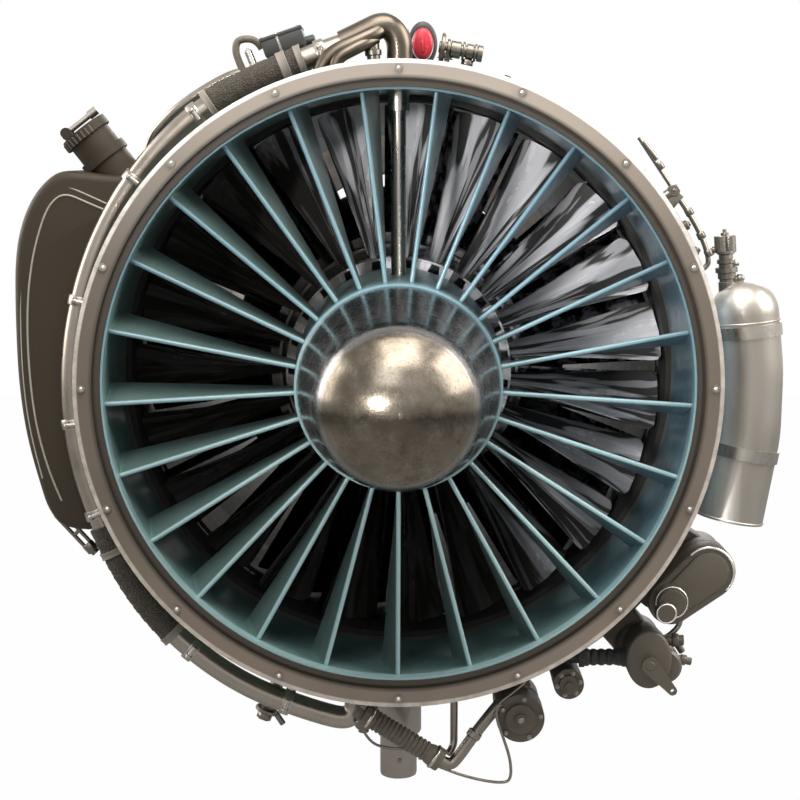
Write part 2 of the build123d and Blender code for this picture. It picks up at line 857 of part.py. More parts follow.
roller_end_gap = 2.0
with BuildPart() as bearing_rollers:
    for station, journal in low_places + high_places:
        with BuildPart(mode=Mode.PRIVATE) as one_roller:
            disc(0, journal + race_thickness + roller_radius, station + bearing_width - roller_end_gap,
                 bearing_width - 2 * roller_end_gap, roller_radius - running)
        with around(roller_count):
            add(one_roller.part)
write(bearing_rollers, "bearing_rollers")

# Bypass duct
with BuildPart() as bypass_duct:
    turned(walled([(mid_rear, bypass_front_radius), (bypass_rear, bypass_rear_radius)], bypass_wall))
    turned(band(mid_rear, mid_rear + joint_thickness, bypass_front_radius, joint_radius))
    turned(band(bypass_rear - joint_thickness, bypass_rear, bypass_rear_radius, bypass_rear_radius + nozzle_flange))
write(bypass_duct, "bypass_duct")

# Rear lug: bracket with a foot that follows the bypass duct
duct_outside = bypass_wall + seat
with BuildPart() as rear_lug:
    with BuildSketch(Plane.YZ.offset(-lug_width / 2)):
        with Locations((lug_station, lug_centre)):
            Circle(lug_radius)
        with Locations((lug_station, lug_foot)):
            Rectangle(3 * lug_radius, lug_foot_thickness)
        make_hull()
    extrude(amount=lug_width)
    with BuildSketch(Plane.XY.offset(lug_foot - lug_foot_thickness)):
        with Locations((0, lug_station)):
            RectangleRounded(lug_foot_width, lug_foot_length, lug_bore)
    extrude(amount=2 * lug_foot_thickness)
    turned([(mid_rear, 0), (bypass_rear, 0), (bypass_rear, bypass_rear_radius + duct_outside),
            (mid_rear, bypass_front_radius + duct_outside)], Mode.SUBTRACT)
    bar(Vector(-lug_width, lug_station, lug_centre), Vector(lug_width, lug_station, lug_centre), lug_bore,
        Mode.SUBTRACT)
write(rear_lug, "rear_lug")

# Rear frame: core ring, hub, struts and the rear bearing housing
with BuildPart() as rear_frame:
    turned(band(frame_front, frame_rear, frame_core_radius, frame_core_radius + frame_wall))
    turned(band(frame_front, frame_rear, frame_hub_radius - frame_wall, frame_hub_radius))
    turned(band(low_rear_bearing, low_rear_bearing + 8, front_race_outer + seat, frame_hub_radius - frame_wall))
    turned(band(low_rear_bearing, low_rear_bearing + bearing_width, front_race_outer + seat,
                front_race_outer + bearing_housing_wall))
    with around(frame_strut_count):
        add(flat_blade(frame_hub_radius - 1, frame_core_radius + 1, frame_front + 8, frame_rear - 8, 0,
                       frame_strut_thickness))
write(rear_frame, "rear_frame")

# Exhaust cone
with BuildPart() as exhaust_cone:
    turned(walled([(frame_rear, frame_hub_radius - cone_wall), (cone_rear - 60, 40), (cone_rear, 12)], cone_wall))
write(exhaust_cone, "exhaust_cone")

# Exhaust nozzle with the jet pipe flange
nozzle_circle = nozzle_rear_radius + nozzle_wall + nozzle_flange / 2
with BuildPart() as exhaust_nozzle:
    turned(walled([(bypass_rear, bypass_rear_radius), (nozzle_rear, nozzle_rear_radius)], nozzle_wall))
    turned(band(bypass_rear, bypass_rear + joint_thickness, bypass_rear_radius, bypass_rear_radius + nozzle_flange))
    turned(band(nozzle_rear - joint_thickness, nozzle_rear, nozzle_rear_radius, nozzle_circle + nozzle_flange / 2))
    with BuildSketch(across(nozzle_rear)):
        with PolarLocations(nozzle_circle, nozzle_hole_count, start_angle=90):
            Circle(nozzle_hole_radius)
    extrude(amount=joint_thickness, mode=Mode.SUBTRACT)
write(exhaust_nozzle, "exhaust_nozzle")

# Accessory gearbox behind the flange, from 4 to 6 o'clock, on two pads
gearbox_rear = accessory_face + gearbox_depth
with BuildPart() as gearbox:
    with BuildSketch(across(gearbox_rear)) as body:
        add(ring_sector(gearbox_inner, gearbox_outer, gearbox_start, gearbox_end))
        fillet(body.vertices(), radius=gearbox_corner)
    extrude(amount=gearbox_depth)
    with BuildSketch(across(accessory_face + pad_front + pad_length)):
        for clock in pad_clocks:
            add(ring_sector(case_outside + seat, gearbox_inner + 2, clock - pad_spread, clock + pad_spread))
    extrude(amount=pad_length)
write(gearbox, "gearbox")

# Starter: pear-shaped housing with a raised rim
with BuildPart() as starter:
    with BuildSketch(across(accessory_face)):
        with Locations(polar(starter_circle, starter_clock)):
            Circle(starter_radius)
        with Locations(polar(starter_neck_circle, starter_neck_clock)):
            Circle(starter_neck_radius)
        make_hull()
    extrude(amount=starter_length)
    disc(starter_clock, starter_circle, accessory_face - starter_length, rim_height, starter_radius - 3)
    disc(starter_clock, starter_circle, accessory_face - starter_length - 4, rim_height, starter_radius - 9,
         Mode.SUBTRACT)
write(starter, "starter")

# Fuel pump: oval body, round cover, lever spindle and two side unions
pump_front = accessory_face - pump_length
spindle_base = pump_front - cover_height
with BuildPart() as fuel_pump:
    with BuildSketch(across(accessory_face)):
        with Locations(polar(pump_circle, pump_clock)):
            SlotOverall(2 * pump_half_height, 2 * pump_half_width, rotation=90)
    extrude(amount=pump_length)
    disc(pump_clock, pump_circle, pump_front, cover_height, cover_radius)
    disc(pump_clock, pump_circle, spindle_base, spindle_length, spindle_radius)
    for station in (pump_front + 18, pump_front + 42):
        hex_bar(at(pump_clock, pump_circle, station) + Vector(pump_half_width - 6, 0, 0),
                at(pump_clock, pump_circle, station) + Vector(pump_half_width + 14, 0, 0), union_radius)
write(fuel_pump, "fuel_pump")

# Throttle lever on the pump spindle
lever_face = spindle_base - seat
with BuildPart() as throttle_lever:
    with BuildSketch(across(lever_face)):
        with Locations(polar(pump_circle, pump_clock)):
            Circle(spindle_radius + 6)
        with Locations(polar(pump_circle + throttle_length, pump_clock)):
            Circle(6)
        make_hull()
        with Locations(polar(pump_circle, pump_clock)):
            Circle(spindle_radius + running, mode=Mode.SUBTRACT)
        with Locations(polar(pump_circle + throttle_length, pump_clock)):
            Circle(2.5, mode=Mode.SUBTRACT)
    extrude(amount=throttle_thickness)
write(throttle_lever, "throttle_lever")

# Scavenge pumps: two round housings, each with a raised ring and a centre bolt
with BuildPart() as scavenge_pumps:
    for clock, circle, size in scavenge_places:
        front = accessory_face - scavenge_length
        disc(clock, circle, accessory_face, scavenge_length, size)
        disc(clock, circle, front, scavenge_ring, size * scavenge_ring_share)
        disc(clock, circle, front - scavenge_ring, scavenge_bolt, size * scavenge_bolt_share)
write(scavenge_pumps, "scavenge_pumps")

# Oil filter bowl under the gearbox, with its drain screw
filter_top = Vector(0, filter_station, -gearbox_outer)
with BuildPart() as oil_filter:
    bar(filter_top + Vector(0, 0, 6), filter_top - Vector(0, 0, filter_length), filter_radius)
    bar(filter_top - Vector(0, 0, filter_length), filter_top - Vector(0, 0, filter_length + filter_screw_length),
        filter_screw_radius)
    turned(band(0, gearbox_rear, 0, gearbox_outer + seat), Mode.SUBTRACT)
write(oil_filter, "oil_filter")

# Oil tank that follows the left side of the case
tank_rear = tank_front + tank_depth
tank_top_inner = polar(tank_inner, tank_end)
tank_top_outer = polar(tank_shoulder_radius, tank_shoulder)
with BuildSketch() as tank_outline:
    with BuildLine():
        ThreePointArc(polar(tank_inner, tank_start), polar(tank_inner, 275), tank_top_inner)
        Line(tank_top_inner, tank_top_outer)
        ThreePointArc(tank_top_outer, polar(tank_side_radius, 270), polar(tank_foot_radius, tank_start + 2))
        Line(polar(tank_foot_radius, tank_start + 2), polar(tank_inner, tank_start))
    make_face()
    fillet(tank_outline.vertices(), radius=tank_corner)
with BuildPart() as oil_tank:
    with BuildSketch(across(tank_rear)):
        add(tank_outline.sketch)
    extrude(amount=tank_depth)
    fillet(oil_tank.faces().sort_by(Axis.Y)[0].edges(), radius=tank_edge)
write(oil_tank, "oil_tank")

# Tank straps: two closed bands with pads on the fan case, joined below by the straps of the bottle
with BuildPart() as vessel_straps:
    for station in strap_stations:
        with BuildSketch(across(station + strap_width)):
            add(offset(tank_outline.sketch, amount=seat + strap_thickness, mode=Mode.PRIVATE))
            add(offset(tank_outline.sketch, amount=seat, mode=Mode.PRIVATE), mode=Mode.SUBTRACT)
        extrude(amount=strap_width)
        with BuildSketch(across(station + strap_width)):
            for clock in strap_pad_clocks:
                add(ring_sector(duct_radius + fan_case_wall + seat, tank_inner - seat - strap_thickness / 2,
                                clock - strap_pad_spread, clock + strap_pad_spread))
        extrude(amount=strap_width)

# Filler neck on the tank's sloping top, with its clamp band
neck_axis = Vector(-sin(radians(neck_lean)), 0, cos(radians(neck_lean)))
neck_side = Vector(cos(radians(neck_lean)), 0, sin(radians(neck_lean)))
top_share = (tank_top_inner[0] - neck_foot_x) / (tank_top_inner[0] - tank_top_outer[0])
neck_foot_z = tank_top_inner[1] + top_share * (tank_top_outer[1] - tank_top_inner[1])
neck_foot = Vector(neck_foot_x, neck_station, neck_foot_z)
neck_end = neck_foot + neck_axis * neck_length
top_run = Vector(tank_top_inner[0] - tank_top_outer[0], 0, tank_top_inner[1] - tank_top_outer[1])
top_normal = top_run.cross(Vector(0, 1, 0)).normalized()
tank_top = Plane(origin=neck_foot, z_dir=top_normal)
with BuildPart() as filler_neck:
    bar(neck_foot - neck_axis * neck_radius, neck_end, neck_radius)
    bar(neck_foot + neck_axis * 44, neck_foot + neck_axis * 56, neck_radius + 4)
    bar(neck_end - neck_axis * plug_depth, neck_end + neck_axis, neck_radius - neck_wall, Mode.SUBTRACT)
    split(bisect_by=tank_top, keep=Keep.TOP)
write(filler_neck, "filler_neck")

# Filler cap with two ears and the lever pin
cap_base = neck_end + neck_axis * seat
cap_end = cap_base + neck_axis * cap_height
pin_centre = cap_end + neck_axis * pin_height - neck_side * pin_offset
ear = Vector(0, ear_gap / 2 + ear_thickness, 0)
with BuildPart() as filler_cap:
    bar(cap_base, cap_end, cap_radius)
    bar(neck_end - neck_axis * (plug_depth - 6), cap_base + neck_axis, neck_radius - neck_wall - running)
    for side in (-1, 1):
        inside = pin_centre + Vector(0, side * ear_gap / 2, 0)
        outside = pin_centre + Vector(0, side * (ear_gap / 2 + ear_thickness), 0)
        bar(inside, outside, ear_radius)
        bar(inside - neck_axis * ear_radius / 2, outside - neck_axis * ear_radius / 2, ear_radius)
    bar(pin_centre - ear, pin_centre + ear, pin_radius)
write(filler_cap, "filler_cap")

# Locking lever on the cap pin
eye_half = Vector(0, ear_gap / 2 - seat, 0)
with BuildPart() as filler_lever:
    bar(pin_centre - eye_half, pin_centre + eye_half, eye_radius)
    bar(pin_centre, pin_centre + neck_side * lever_length, lever_radius)
    bar(pin_centre + neck_side * (lever_length - 1), pin_centre + neck_side * (lever_length + 12), lever_radius + 2)
    bar(pin_centre - eye_half * 2, pin_centre + eye_half * 2, pin_radius + running, Mode.SUBTRACT)
write(filler_lever, "filler_lever")

# Tank drain at the foot of the tank
drain_top = at(tank_start + 4.5, tank_foot_radius - 26, tank_front + 30)
drain_run = Vector(0.5, 0, -0.87)
with BuildPart() as tank_drain:
    bar(drain_top, drain_top + drain_run * drain_length, drain_radius)
    hex_bar(drain_top + drain_run * drain_nut[0], drain_top + drain_run * drain_nut[1], drain_nut_radius)
    add(oil_tank.part, mode=Mode.SUBTRACT)
write(tank_drain, "tank_drain")

# Vent pipe from the case over to the tank top
vent_end = Vector(neck_foot_x, vent_station, neck_foot_z - 6)
with BuildPart() as vent_pipe:
    tube_run([at(329, case_outside + 1, 160), at(329, 450, 160), at(321, 465, 170), Vector(-345, 225, 330),
              vent_end + Vector(0, 0, 42), vent_end], 16, vent_radius)
    add(oil_tank.part, mode=Mode.SUBTRACT)
write(vent_pipe, "vent_pipe")

# Air manifold round the left half
manifold_route = [at(clock, circle, pipe_station) for clock, circle in manifold_places]
with BuildPart() as manifold_pipe:
    tube_run(manifold_route, manifold_bend, pipe_radius)
write(manifold_pipe, "manifold_pipe")


def between(points, share):
    """Point along a route, counted in corners and parts of a run."""
    corner = int(share)
    return points[corner] + (points[corner + 1] - points[corner]) * (share - corner)


# Insulated sleeves round the manifold
with BuildPart() as manifold_sleeves:
    bar(between(manifold_route, 1.14), between(manifold_route, 1.62), pipe_radius + sleeve_wall)
    tube_run([between(manifold_route, 6.3), manifold_route[7], between(manifold_route, 7.34)], manifold_bend,
             pipe_radius + sleeve_wall)
    bar(between(manifold_route, 1.13), between(manifold_route, 1.63), pipe_radius + seat, Mode.SUBTRACT)
    tube_run([between(manifold_route, 6.29), manifold_route[7], between(manifold_route, 7.35)], manifold_bend,
             pipe_radius + seat, Mode.SUBTRACT)
write(manifold_sleeves, "manifold_sleeves")

# Manifold clamps: a ring round the pipe and a post down to the case
with BuildPart() as manifold_clamps:
    for share in clamp_places:
        centre = between(manifold_route, share)
        run = (manifold_route[int(share) + 1] - manifold_route[int(share)]).normalized() * (clamp_width / 2)
        down = Vector(centre.X, 0, centre.Z).normalized()
        bar(centre - run, centre + run, pipe_radius + clamp_wall)
        bar(centre, down * (case_outside - post_sink) + Vector(0, pipe_station, 0), post_radius)
        bar(centre - run * 2, centre + run * 2, pipe_radius + seat, Mode.SUBTRACT)
    add(manifold_pipe.part, mode=Mode.SUBTRACT)
    add(manifold_sleeves.part, mode=Mode.SUBTRACT)
    turned(band(0, inlet_rear, 0, case_outside + seat), Mode.SUBTRACT)
write(manifold_clamps, "manifold_clamps")

# Top elbow from the manifold down into the case
elbow_run = (manifold_route[0] - manifold_route[1]).normalized()
elbow_corner = manifold_route[0] + elbow_run * ((elbow_x - manifold_route[0].X) / elbow_run.X)
with BuildPart() as top_elbow:
    tube_run([manifold_route[0], elbow_corner, Vector(elbow_x, pipe_station, case_outside - 8)], elbow_bend,
             elbow_radius)
    turned(band(0, inlet_rear, 0, case_outside + seat), Mode.SUBTRACT)
write(top_elbow, "top_elbow")

# Dark plug ring on a post, and the red plug in it
plug_front = plug_rear - plug_length
with BuildPart() as plug_ring:
    bar(at(plug_clock, plug_circle, plug_rear - plug_length / 2), at(plug_clock, case_outside - post_sink,
        plug_rear - plug_length / 2), post_radius + 2)
    disc(plug_clock, plug_circle, plug_rear, plug_length, plug_radius + plug_ring_wall)
    disc(plug_clock, plug_circle, plug_rear - plug_floor, plug_length, plug_radius + running, Mode.SUBTRACT)
    turned(band(0, inlet_rear, 0, case_outside + seat), Mode.SUBTRACT)
write(plug_ring, "plug_ring")
with BuildPart() as red_plug:
    disc(plug_clock, plug_circle, plug_rear - plug_floor - seat, plug_length - plug_floor, plug_radius)
write(red_plug, "red_plug")

# Ignition box on two posts at the top left, and its lead
with BuildPart() as ignition_box:
    with BuildSketch(across(box_rear)) as section:
        with Locations(Location((*polar(box_circle, box_clock), 0), (0, 0, 360 - box_clock))):
            Rectangle(box_width, box_height)
        fillet(section.vertices(), radius=5)
    extrude(amount=box_length)
    for station in (box_rear - box_length + 14, box_rear - 22):
        bar(at(box_clock, box_circle - box_height / 2 + 1, station), at(box_clock, case_outside - post_sink, station),
            post_radius)
    turned(band(0, inlet_rear, 0, case_outside + seat), Mode.SUBTRACT)
write(ignition_box, "ignition_box")

box_side = at(box_clock, box_circle, box_rear - 30) + Vector(-cos(radians(360 - box_clock)), 0,
                                                           -sin(radians(360 - box_clock))) * (box_width / 2 + 0.1)
with BuildPart() as ignition_lead:
    tube_run([box_side, box_side + Vector(-22, 0, -8), box_side + Vector(-34, 30, 14), box_side + Vector(-20, 92, 8),
              at(333, 420, 300), at(333, duct_radius + fan_case_wall + seat, 300)], 9, lead_radius)
write(ignition_lead, "ignition_lead")

# Pipe unions on the case: a round stub with a six-sided cap
with BuildPart() as pipe_unions:
    for clock, circle, station in union_places:
        bar(at(clock, case_outside - post_sink, station), at(clock, circle, station), union_stub)
        collar = circle - union_nut_length - union_nut_gap
        hex_bar(at(clock, circle - union_nut_length, station), at(clock, circle, station), union_radius)
        hex_bar(at(clock, collar - union_nut_length / 2, station), at(clock, collar, station), union_radius)
    turned(band(0, inlet_rear, 0, case_outside + seat), Mode.SUBTRACT)
write(pipe_unions, "pipe_unions")

# Bottle at the right, bent to follow the case
bottle_route = [Vector(x, bottle_station, z) for x, z in bottle_places]
with BuildPart() as bottle:
    tube_run(bottle_route, bottle_bend, bottle_radius)
    with Locations(bottle_route[0]):
        Sphere(bottle_radius)
write(bottle, "bottle")

# Bottle straps with posts to the case
with BuildPart() as bottle_straps:
    for share in bottle_strap_places:
        centre = between(bottle_route, share)
        run = (bottle_route[int(share) + 1] - bottle_route[int(share)]).normalized() * (strap_width / 2)
        inward = Vector(-centre.X, 0, -centre.Z * bottle_post_lean).normalized()
        bar(centre - run, centre + run, bottle_radius + seat + strap_thickness)
        bar(centre, centre + inward * (centre.X - case_outside + 2 * bottle_radius), bottle_post_radius)
        bar(centre - run * 2, centre + run * 2, bottle_radius + seat, Mode.SUBTRACT)
    turned(band(0, inlet_rear, 0, case_outside + seat), Mode.SUBTRACT)
with BuildPart(mode=Mode.PRIVATE) as all_straps:
    add(vessel_straps.part)
    add(bottle_straps.part)
write(all_straps, "vessel_straps")

# Bottle valve: stacked six-sided and round steps on the dome
valve_foot = bottle_route[0] + Vector(-4, 0, bottle_radius - 6)
valve_run = (Vector(bottle_valve_x, bottle_station, bottle_valve_z) - valve_foot).normalized()
with BuildPart() as bottle_valve:
    bar(valve_foot, valve_foot + valve_run * valve_length, valve_radius)
    hex_bar(valve_foot + valve_run * valve_nut[0], valve_foot + valve_run * valve_nut[1], valve_nut_radius)
    bar(valve_foot + valve_run * valve_collar[0], valve_foot + valve_run * valve_collar[1], valve_collar_radius)
    valve_port = valve_foot + valve_run * (sum(valve_collar) / 2)
    bar(valve_port - Vector(valve_port_length, 0, 0), valve_port, valve_port_radius)
    add(bottle.part, mode=Mode.SUBTRACT)
write(bottle_valve, "bottle_valve")

# Corrugated hoses with ferrules: one below, one at the lower right
with BuildPart() as corrugated_hoses:
    for start, end, radius in hose_places:
        run = (end - start).normalized()
        bar(start, end, radius - hose_rib_height)
        bar(start, start + run * hose_ferrule_length, radius + hose_ferrule_wall)
        bar(end - run * hose_ferrule_length, end, radius + hose_ferrule_wall)
        ribs = int(((end - start).length - 2 * hose_ferrule_length) / hose_rib_pitch)
        for i in range(ribs):
            rib = start + run * (hose_ferrule_length + hose_rib_width + i * hose_rib_pitch)
            bar(rib, rib + run * hose_rib_width, radius)
write(corrugated_hoses, "corrugated_hoses")

# Small pipes: the sensing pipe at the upper right, and the polished tube and thin loop below
hose_end = hose_places[0][1]
hose_run = (hose_end - hose_places[0][0]).normalized()
loop_start = Vector(loop_start_x, accessory_face - seat, loop_start_z)
pump_side = at(scavenge_places[0][0], scavenge_places[0][1] + 6, accessory_face - scavenge_length + 16)
with BuildPart() as small_pipes:
    tube_run([at(43, case_outside - 3, pipe_station), at(43.6, 440, pipe_station), at(55, 441, pipe_station),
              at(68.5, 424, pipe_station), at(69.5, case_outside - 3, pipe_station)], 14, sensing_radius)
    turned(band(0, inlet_rear, 0, case_outside + seat), Mode.SUBTRACT)
    tube_run([hose_end + hose_run * seat, hose_end + hose_run * polished_lead, pump_side], polished_bend,
             polished_radius)
    tube_run([loop_start, loop_start - Vector(0, loop_lead, 0), *[Vector(*place) for place in loop_places],
              pump_side + Vector(0, polished_radius - loop_radius + 2, 0)], loop_bend, loop_radius)
    disc(scavenge_places[0][0], scavenge_places[0][1], accessory_face, scavenge_length + 10,
         scavenge_places[0][2] + seat, Mode.SUBTRACT)
write(small_pipes, "small_pipes")
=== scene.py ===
import json
import math
from math import cos, pi, radians, sin

import bmesh
import bpy
from mathutils import Matrix, Vector


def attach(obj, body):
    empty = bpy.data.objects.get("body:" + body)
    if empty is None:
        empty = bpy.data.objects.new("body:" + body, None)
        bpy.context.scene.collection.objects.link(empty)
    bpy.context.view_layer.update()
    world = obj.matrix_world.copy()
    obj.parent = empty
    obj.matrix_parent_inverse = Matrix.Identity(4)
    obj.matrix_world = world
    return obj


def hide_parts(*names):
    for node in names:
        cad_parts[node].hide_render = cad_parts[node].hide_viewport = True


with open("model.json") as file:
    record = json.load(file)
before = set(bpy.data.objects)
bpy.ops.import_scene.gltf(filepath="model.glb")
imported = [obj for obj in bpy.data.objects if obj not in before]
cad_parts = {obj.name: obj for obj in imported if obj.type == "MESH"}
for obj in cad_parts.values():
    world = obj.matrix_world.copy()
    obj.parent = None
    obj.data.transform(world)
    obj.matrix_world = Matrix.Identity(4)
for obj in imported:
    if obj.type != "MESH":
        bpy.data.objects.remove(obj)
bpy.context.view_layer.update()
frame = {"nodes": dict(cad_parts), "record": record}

# The engine axis is Y with the inlet towards -Y, +Z is up and +X is the right side seen from the front.
# Clock angles run clockwise from 12 o'clock, seen from the front. All sizes are in metres.

MM = 0.001
FORWARD = Vector((0, -1, 0))
AFT = Vector((0, 1, 0))
UP = Vector((0, 0, 1))
SKIN = 0.374  # radius at which posts, stubs and tubes end in the case wall
DUCT_FRONT, DUCT_REAR, NOZZLE_REAR = 0.54, 1.50, 1.95
DUCT_TAPER, NOZZLE_TAPER = 0.036, 0.080  # loss of radius from front to rear


def at(clock, radius, station):
    """Point at a clock angle, a radius and a station along the axis."""
    return Vector((radius * sin(radians(clock)), station, radius * cos(radians(clock))))


def outward(clock):
    """Direction away from the engine axis at a clock angle."""
    return at(clock, 1, 0)


# Selecting and shaping


def clear_selection():
    """Object mode with nothing selected."""
    if bpy.context.object and bpy.context.object.mode != "OBJECT":
        bpy.ops.object.mode_set(mode="OBJECT")
    bpy.ops.object.select_all(action="DESELECT")


def choose(piece):
    """Only this piece selected and active."""
    clear_selection()
    piece.select_set(True)
    bpy.context.view_layer.objects.active = piece


def settle(piece):
    """Bring the place of a piece into its mesh."""
    choose(piece)
    bpy.ops.object.transform_apply(location=True, rotation=True, scale=True)


def stand(piece, foot, direction):
    """Turn a piece from the Z axis to a direction and set it on its foot."""
    piece.rotation_mode = "QUATERNION"
    piece.rotation_quaternion = Vector(direction).to_track_quat("Z", "Y")
    piece.location = foot
    settle(piece)
    return piece


def pose(foot, direction):
    """Place of a copy that stands on a foot in a direction."""
    turn = Vector(direction).to_track_quat("Z", "Y")
    return Matrix.Translation(foot) @ turn.to_matrix().to_4x4()


def modify(piece, kind, **settings):
    """Add a modifier and apply it."""
    choose(piece)
    modifier = piece.modifiers.new(kind.title(), kind)
    for key, value in settings.items():
        setattr(modifier, key, value)
    bpy.ops.object.modifier_apply(modifier=modifier.name)
    return piece


def soften(piece, width, segments=2, sharpness=30):
    """Bevel the sharp edges of a piece and shade it smooth."""
    modify(piece, "BEVEL", width=width, segments=segments,
           limit_method="ANGLE", angle_limit=radians(sharpness))
    return smooth(piece)


def smooth(piece, angle=35):
    """Smooth shading with sharp edges kept."""
    choose(piece)
    bpy.ops.object.shade_smooth_by_angle(angle=radians(angle))
    return piece


def join(pieces, name):
    """Several pieces made one."""
    clear_selection()
    for piece in pieces:
        piece.select_set(True)
    bpy.context.view_layer.objects.active = pieces[0]
    if len(pieces) > 1:
        bpy.ops.object.join()
    joined = bpy.context.view_layer.objects.active
    joined.name = name
    return joined


def spread(piece, places, name):
    """Copies of a piece at several places, made one."""
    settle(piece)
    copies = []
    for place in places:
        copy = piece.copy()
        copy.data = piece.data.copy()
        copy.matrix_world = place
        bpy.context.collection.objects.link(copy)
        copies.append(copy)
    bpy.data.objects.remove(piece)
    joined = join(copies, name)
    settle(joined)
    return joined


def lathe(name, outline, steps=40, angle=35, sweep=2 * pi):
    """Turned piece about the Z axis, spun from an outline of (radius, height) points."""
    clear_selection()
    bpy.ops.mesh.primitive_plane_add(size=MM)
    piece = bpy.context.object
    piece.name = name
    bpy.ops.object.mode_set(mode="EDIT")
    bpy.ops.mesh.merge(type="CENTER")
    here = Vector((outline[0][0], 0, outline[0][1]))
    bpy.ops.transform.translate(value=here)
    for radius, height in outline[1:]:
        there = Vector((radius, 0, height))
        bpy.ops.mesh.extrude_region_move(TRANSFORM_OT_translate={"value": there - here})
        here = there
    bpy.ops.mesh.select_all(action="SELECT")
    bpy.ops.mesh.spin(steps=steps, angle=sweep, center=(0, 0, 0), axis=(0, 0, 1))
    bpy.ops.mesh.select_all(action="SELECT")
    bpy.ops.mesh.remove_doubles(threshold=MM / 100)
    bpy.ops.mesh.normals_make_consistent(inside=False)
    bpy.ops.object.mode_set(mode="OBJECT")
    return smooth(piece, angle)


def hexagon(name, radius, height, dome=0.0, collar=0.0):
    """Six-sided nut or bolt head on the Z axis, with chamfered corners and, below it, a round collar."""
    clear_selection()
    bpy.ops.mesh.primitive_cylinder_add(vertices=6, radius=radius, depth=height,
                                        location=(0, 0, height / 2))
    head = bpy.context.object
    soften(head, radius * 0.09, 1)
    pieces = [head]
    if collar:
        rim = radius * 1.18
        outline = [(0, 0), (rim, 0), (rim, collar * 0.6), (radius, collar), (0, collar)]
        pieces.append(lathe("collar", outline, 16))
    if dome:
        end = radius * 0.5
        pieces.append(lathe("shank", [(0, height * 0.9), (end, height * 0.9), (end, height + dome * 0.7),
                                      (end * 0.8, height + dome), (0, height + dome)], 12))
    return join(pieces, name)


def bead(name, radius, size, squash=1.0, steps=48, sides=8):
    """Round bead that closes on itself about the Z axis."""
    outline = []
    for i in range(sides + 1):
        turn = 2 * pi * i / sides
        outline.append((radius + size * cos(turn), size * squash * sin(turn)))
    return lathe(name, outline, steps, 60)


def rod(name, foot, tip, radius, sides=16, edge=0.15):
    """Round bar from one point to another, with its edges broken."""
    foot, tip = Vector(foot), Vector(tip)
    length = (tip - foot).length
    clear_selection()
    bpy.ops.mesh.primitive_cylinder_add(vertices=sides, radius=radius, depth=length,
                                        location=(0, 0, length / 2))
    piece = bpy.context.object
    piece.name = name
    settle(piece)
    soften(piece, radius * edge, 1)
    return stand(piece, foot, tip - foot)


def arc_piece(name, outline, clock, half_width, steps=6, angle=35):
    """Outline of (radius, station) points swept round the engine axis to each side of a clock angle."""
    piece = lathe(name, outline + outline[:1], steps, angle, radians(2 * half_width))
    fill_open_ends(piece)
    piece.matrix_world = (Matrix.Rotation(radians(-90), 4, "X")
                          @ Matrix.Rotation(radians(clock - 90 + half_width), 4, "Z"))
    settle(piece)
    return smooth(piece, angle)


def fill_open_ends(piece):
    """Close the open edges of a mesh with flat faces and point all normals outwards."""
    choose(piece)
    bpy.ops.object.mode_set(mode="EDIT")
    bpy.ops.mesh.select_mode(type="EDGE")
    bpy.ops.mesh.select_all(action="DESELECT")
    mesh = bmesh.from_edit_mesh(piece.data)
    for edge in mesh.edges:
        edge.select_set(edge.is_boundary)
    bmesh.update_edit_mesh(piece.data)
    bpy.ops.mesh.edge_face_add()
    bpy.ops.mesh.select_all(action="SELECT")
    bpy.ops.mesh.normals_make_consistent(inside=False)
    bpy.ops.mesh.select_mode(type="VERT")
    bpy.ops.object.mode_set(mode="OBJECT")


def smooth_line(points, steps=12):
    """Points read from a smooth line that bends inside the corners of a route."""
    curve = bpy.data.curves.new("line", "CURVE")
    curve.dimensions = "3D"
    curve.resolution_u = steps
    spline = curve.splines.new("NURBS")
    spline.points.add(len(points) - 1)
    for knot, point in zip(spline.points, points):
        knot.co = (*point, 1)
    spline.order_u = 3
    spline.use_endpoint_u = True
    holder = bpy.data.objects.new("line", curve)
    bpy.context.collection.objects.link(holder)
    mesh = bpy.data.meshes.new_from_object(holder)
    line = [vertex.co.copy() for vertex in mesh.vertices]
    bpy.data.objects.remove(holder)
    bpy.data.curves.remove(curve)
    bpy.data.meshes.remove(mesh)
    return line


def pipe_on(name, line, radius, sides=12, swell=0.0):
    """Round pipe on a line of points, with an uneven swell where it is a sleeve."""
    clear_selection()
    curve = bpy.data.curves.new(name, "CURVE")
    curve.dimensions = "3D"
    curve.bevel_depth = radius
    curve.bevel_resolution = sides // 2 - 2
    curve.use_fill_caps = True
    spline = curve.splines.new("POLY")
    spline.points.add(len(line) - 1)
    for i, (knot, point) in enumerate(zip(spline.points, line)):
        knot.co = (*point, 1)
        knot.radius = 1 + swell * sin(i * 1.9) * cos(i * 0.7)
    piece = bpy.data.objects.new(name, curve)
    bpy.context.collection.objects.link(piece)
    choose(piece)
    bpy.ops.object.convert(target="MESH")
    return smooth(bpy.context.object, 50)


def pipe(name, points, radius, sides=12):
    """Round pipe along a smooth line inside the corners of a route."""
    return pipe_on(name, smooth_line(points), radius, sides)


def mm(x, y, z):
    """Point from millimetres."""
    return Vector((x, y, z)) * MM


def box(name, size, centre, clock, edge):
    """Block with broken edges, its height pointing away from the engine axis at a clock angle."""
    clear_selection()
    bpy.ops.mesh.primitive_cube_add(size=1)
    piece = bpy.context.object
    piece.name = name
    piece.scale = size
    settle(piece)
    soften(piece, edge, 2)
    piece.matrix_world = Matrix.Translation(centre) @ Matrix.Rotation(radians(clock), 4, "Y")
    settle(piece)
    return piece


# Shader nodes and maths


def emptied_tree(owner):
    """Empty node tree of a material or of the world."""
    owner.use_nodes = True
    owner.node_tree.nodes.clear()
    return owner.node_tree


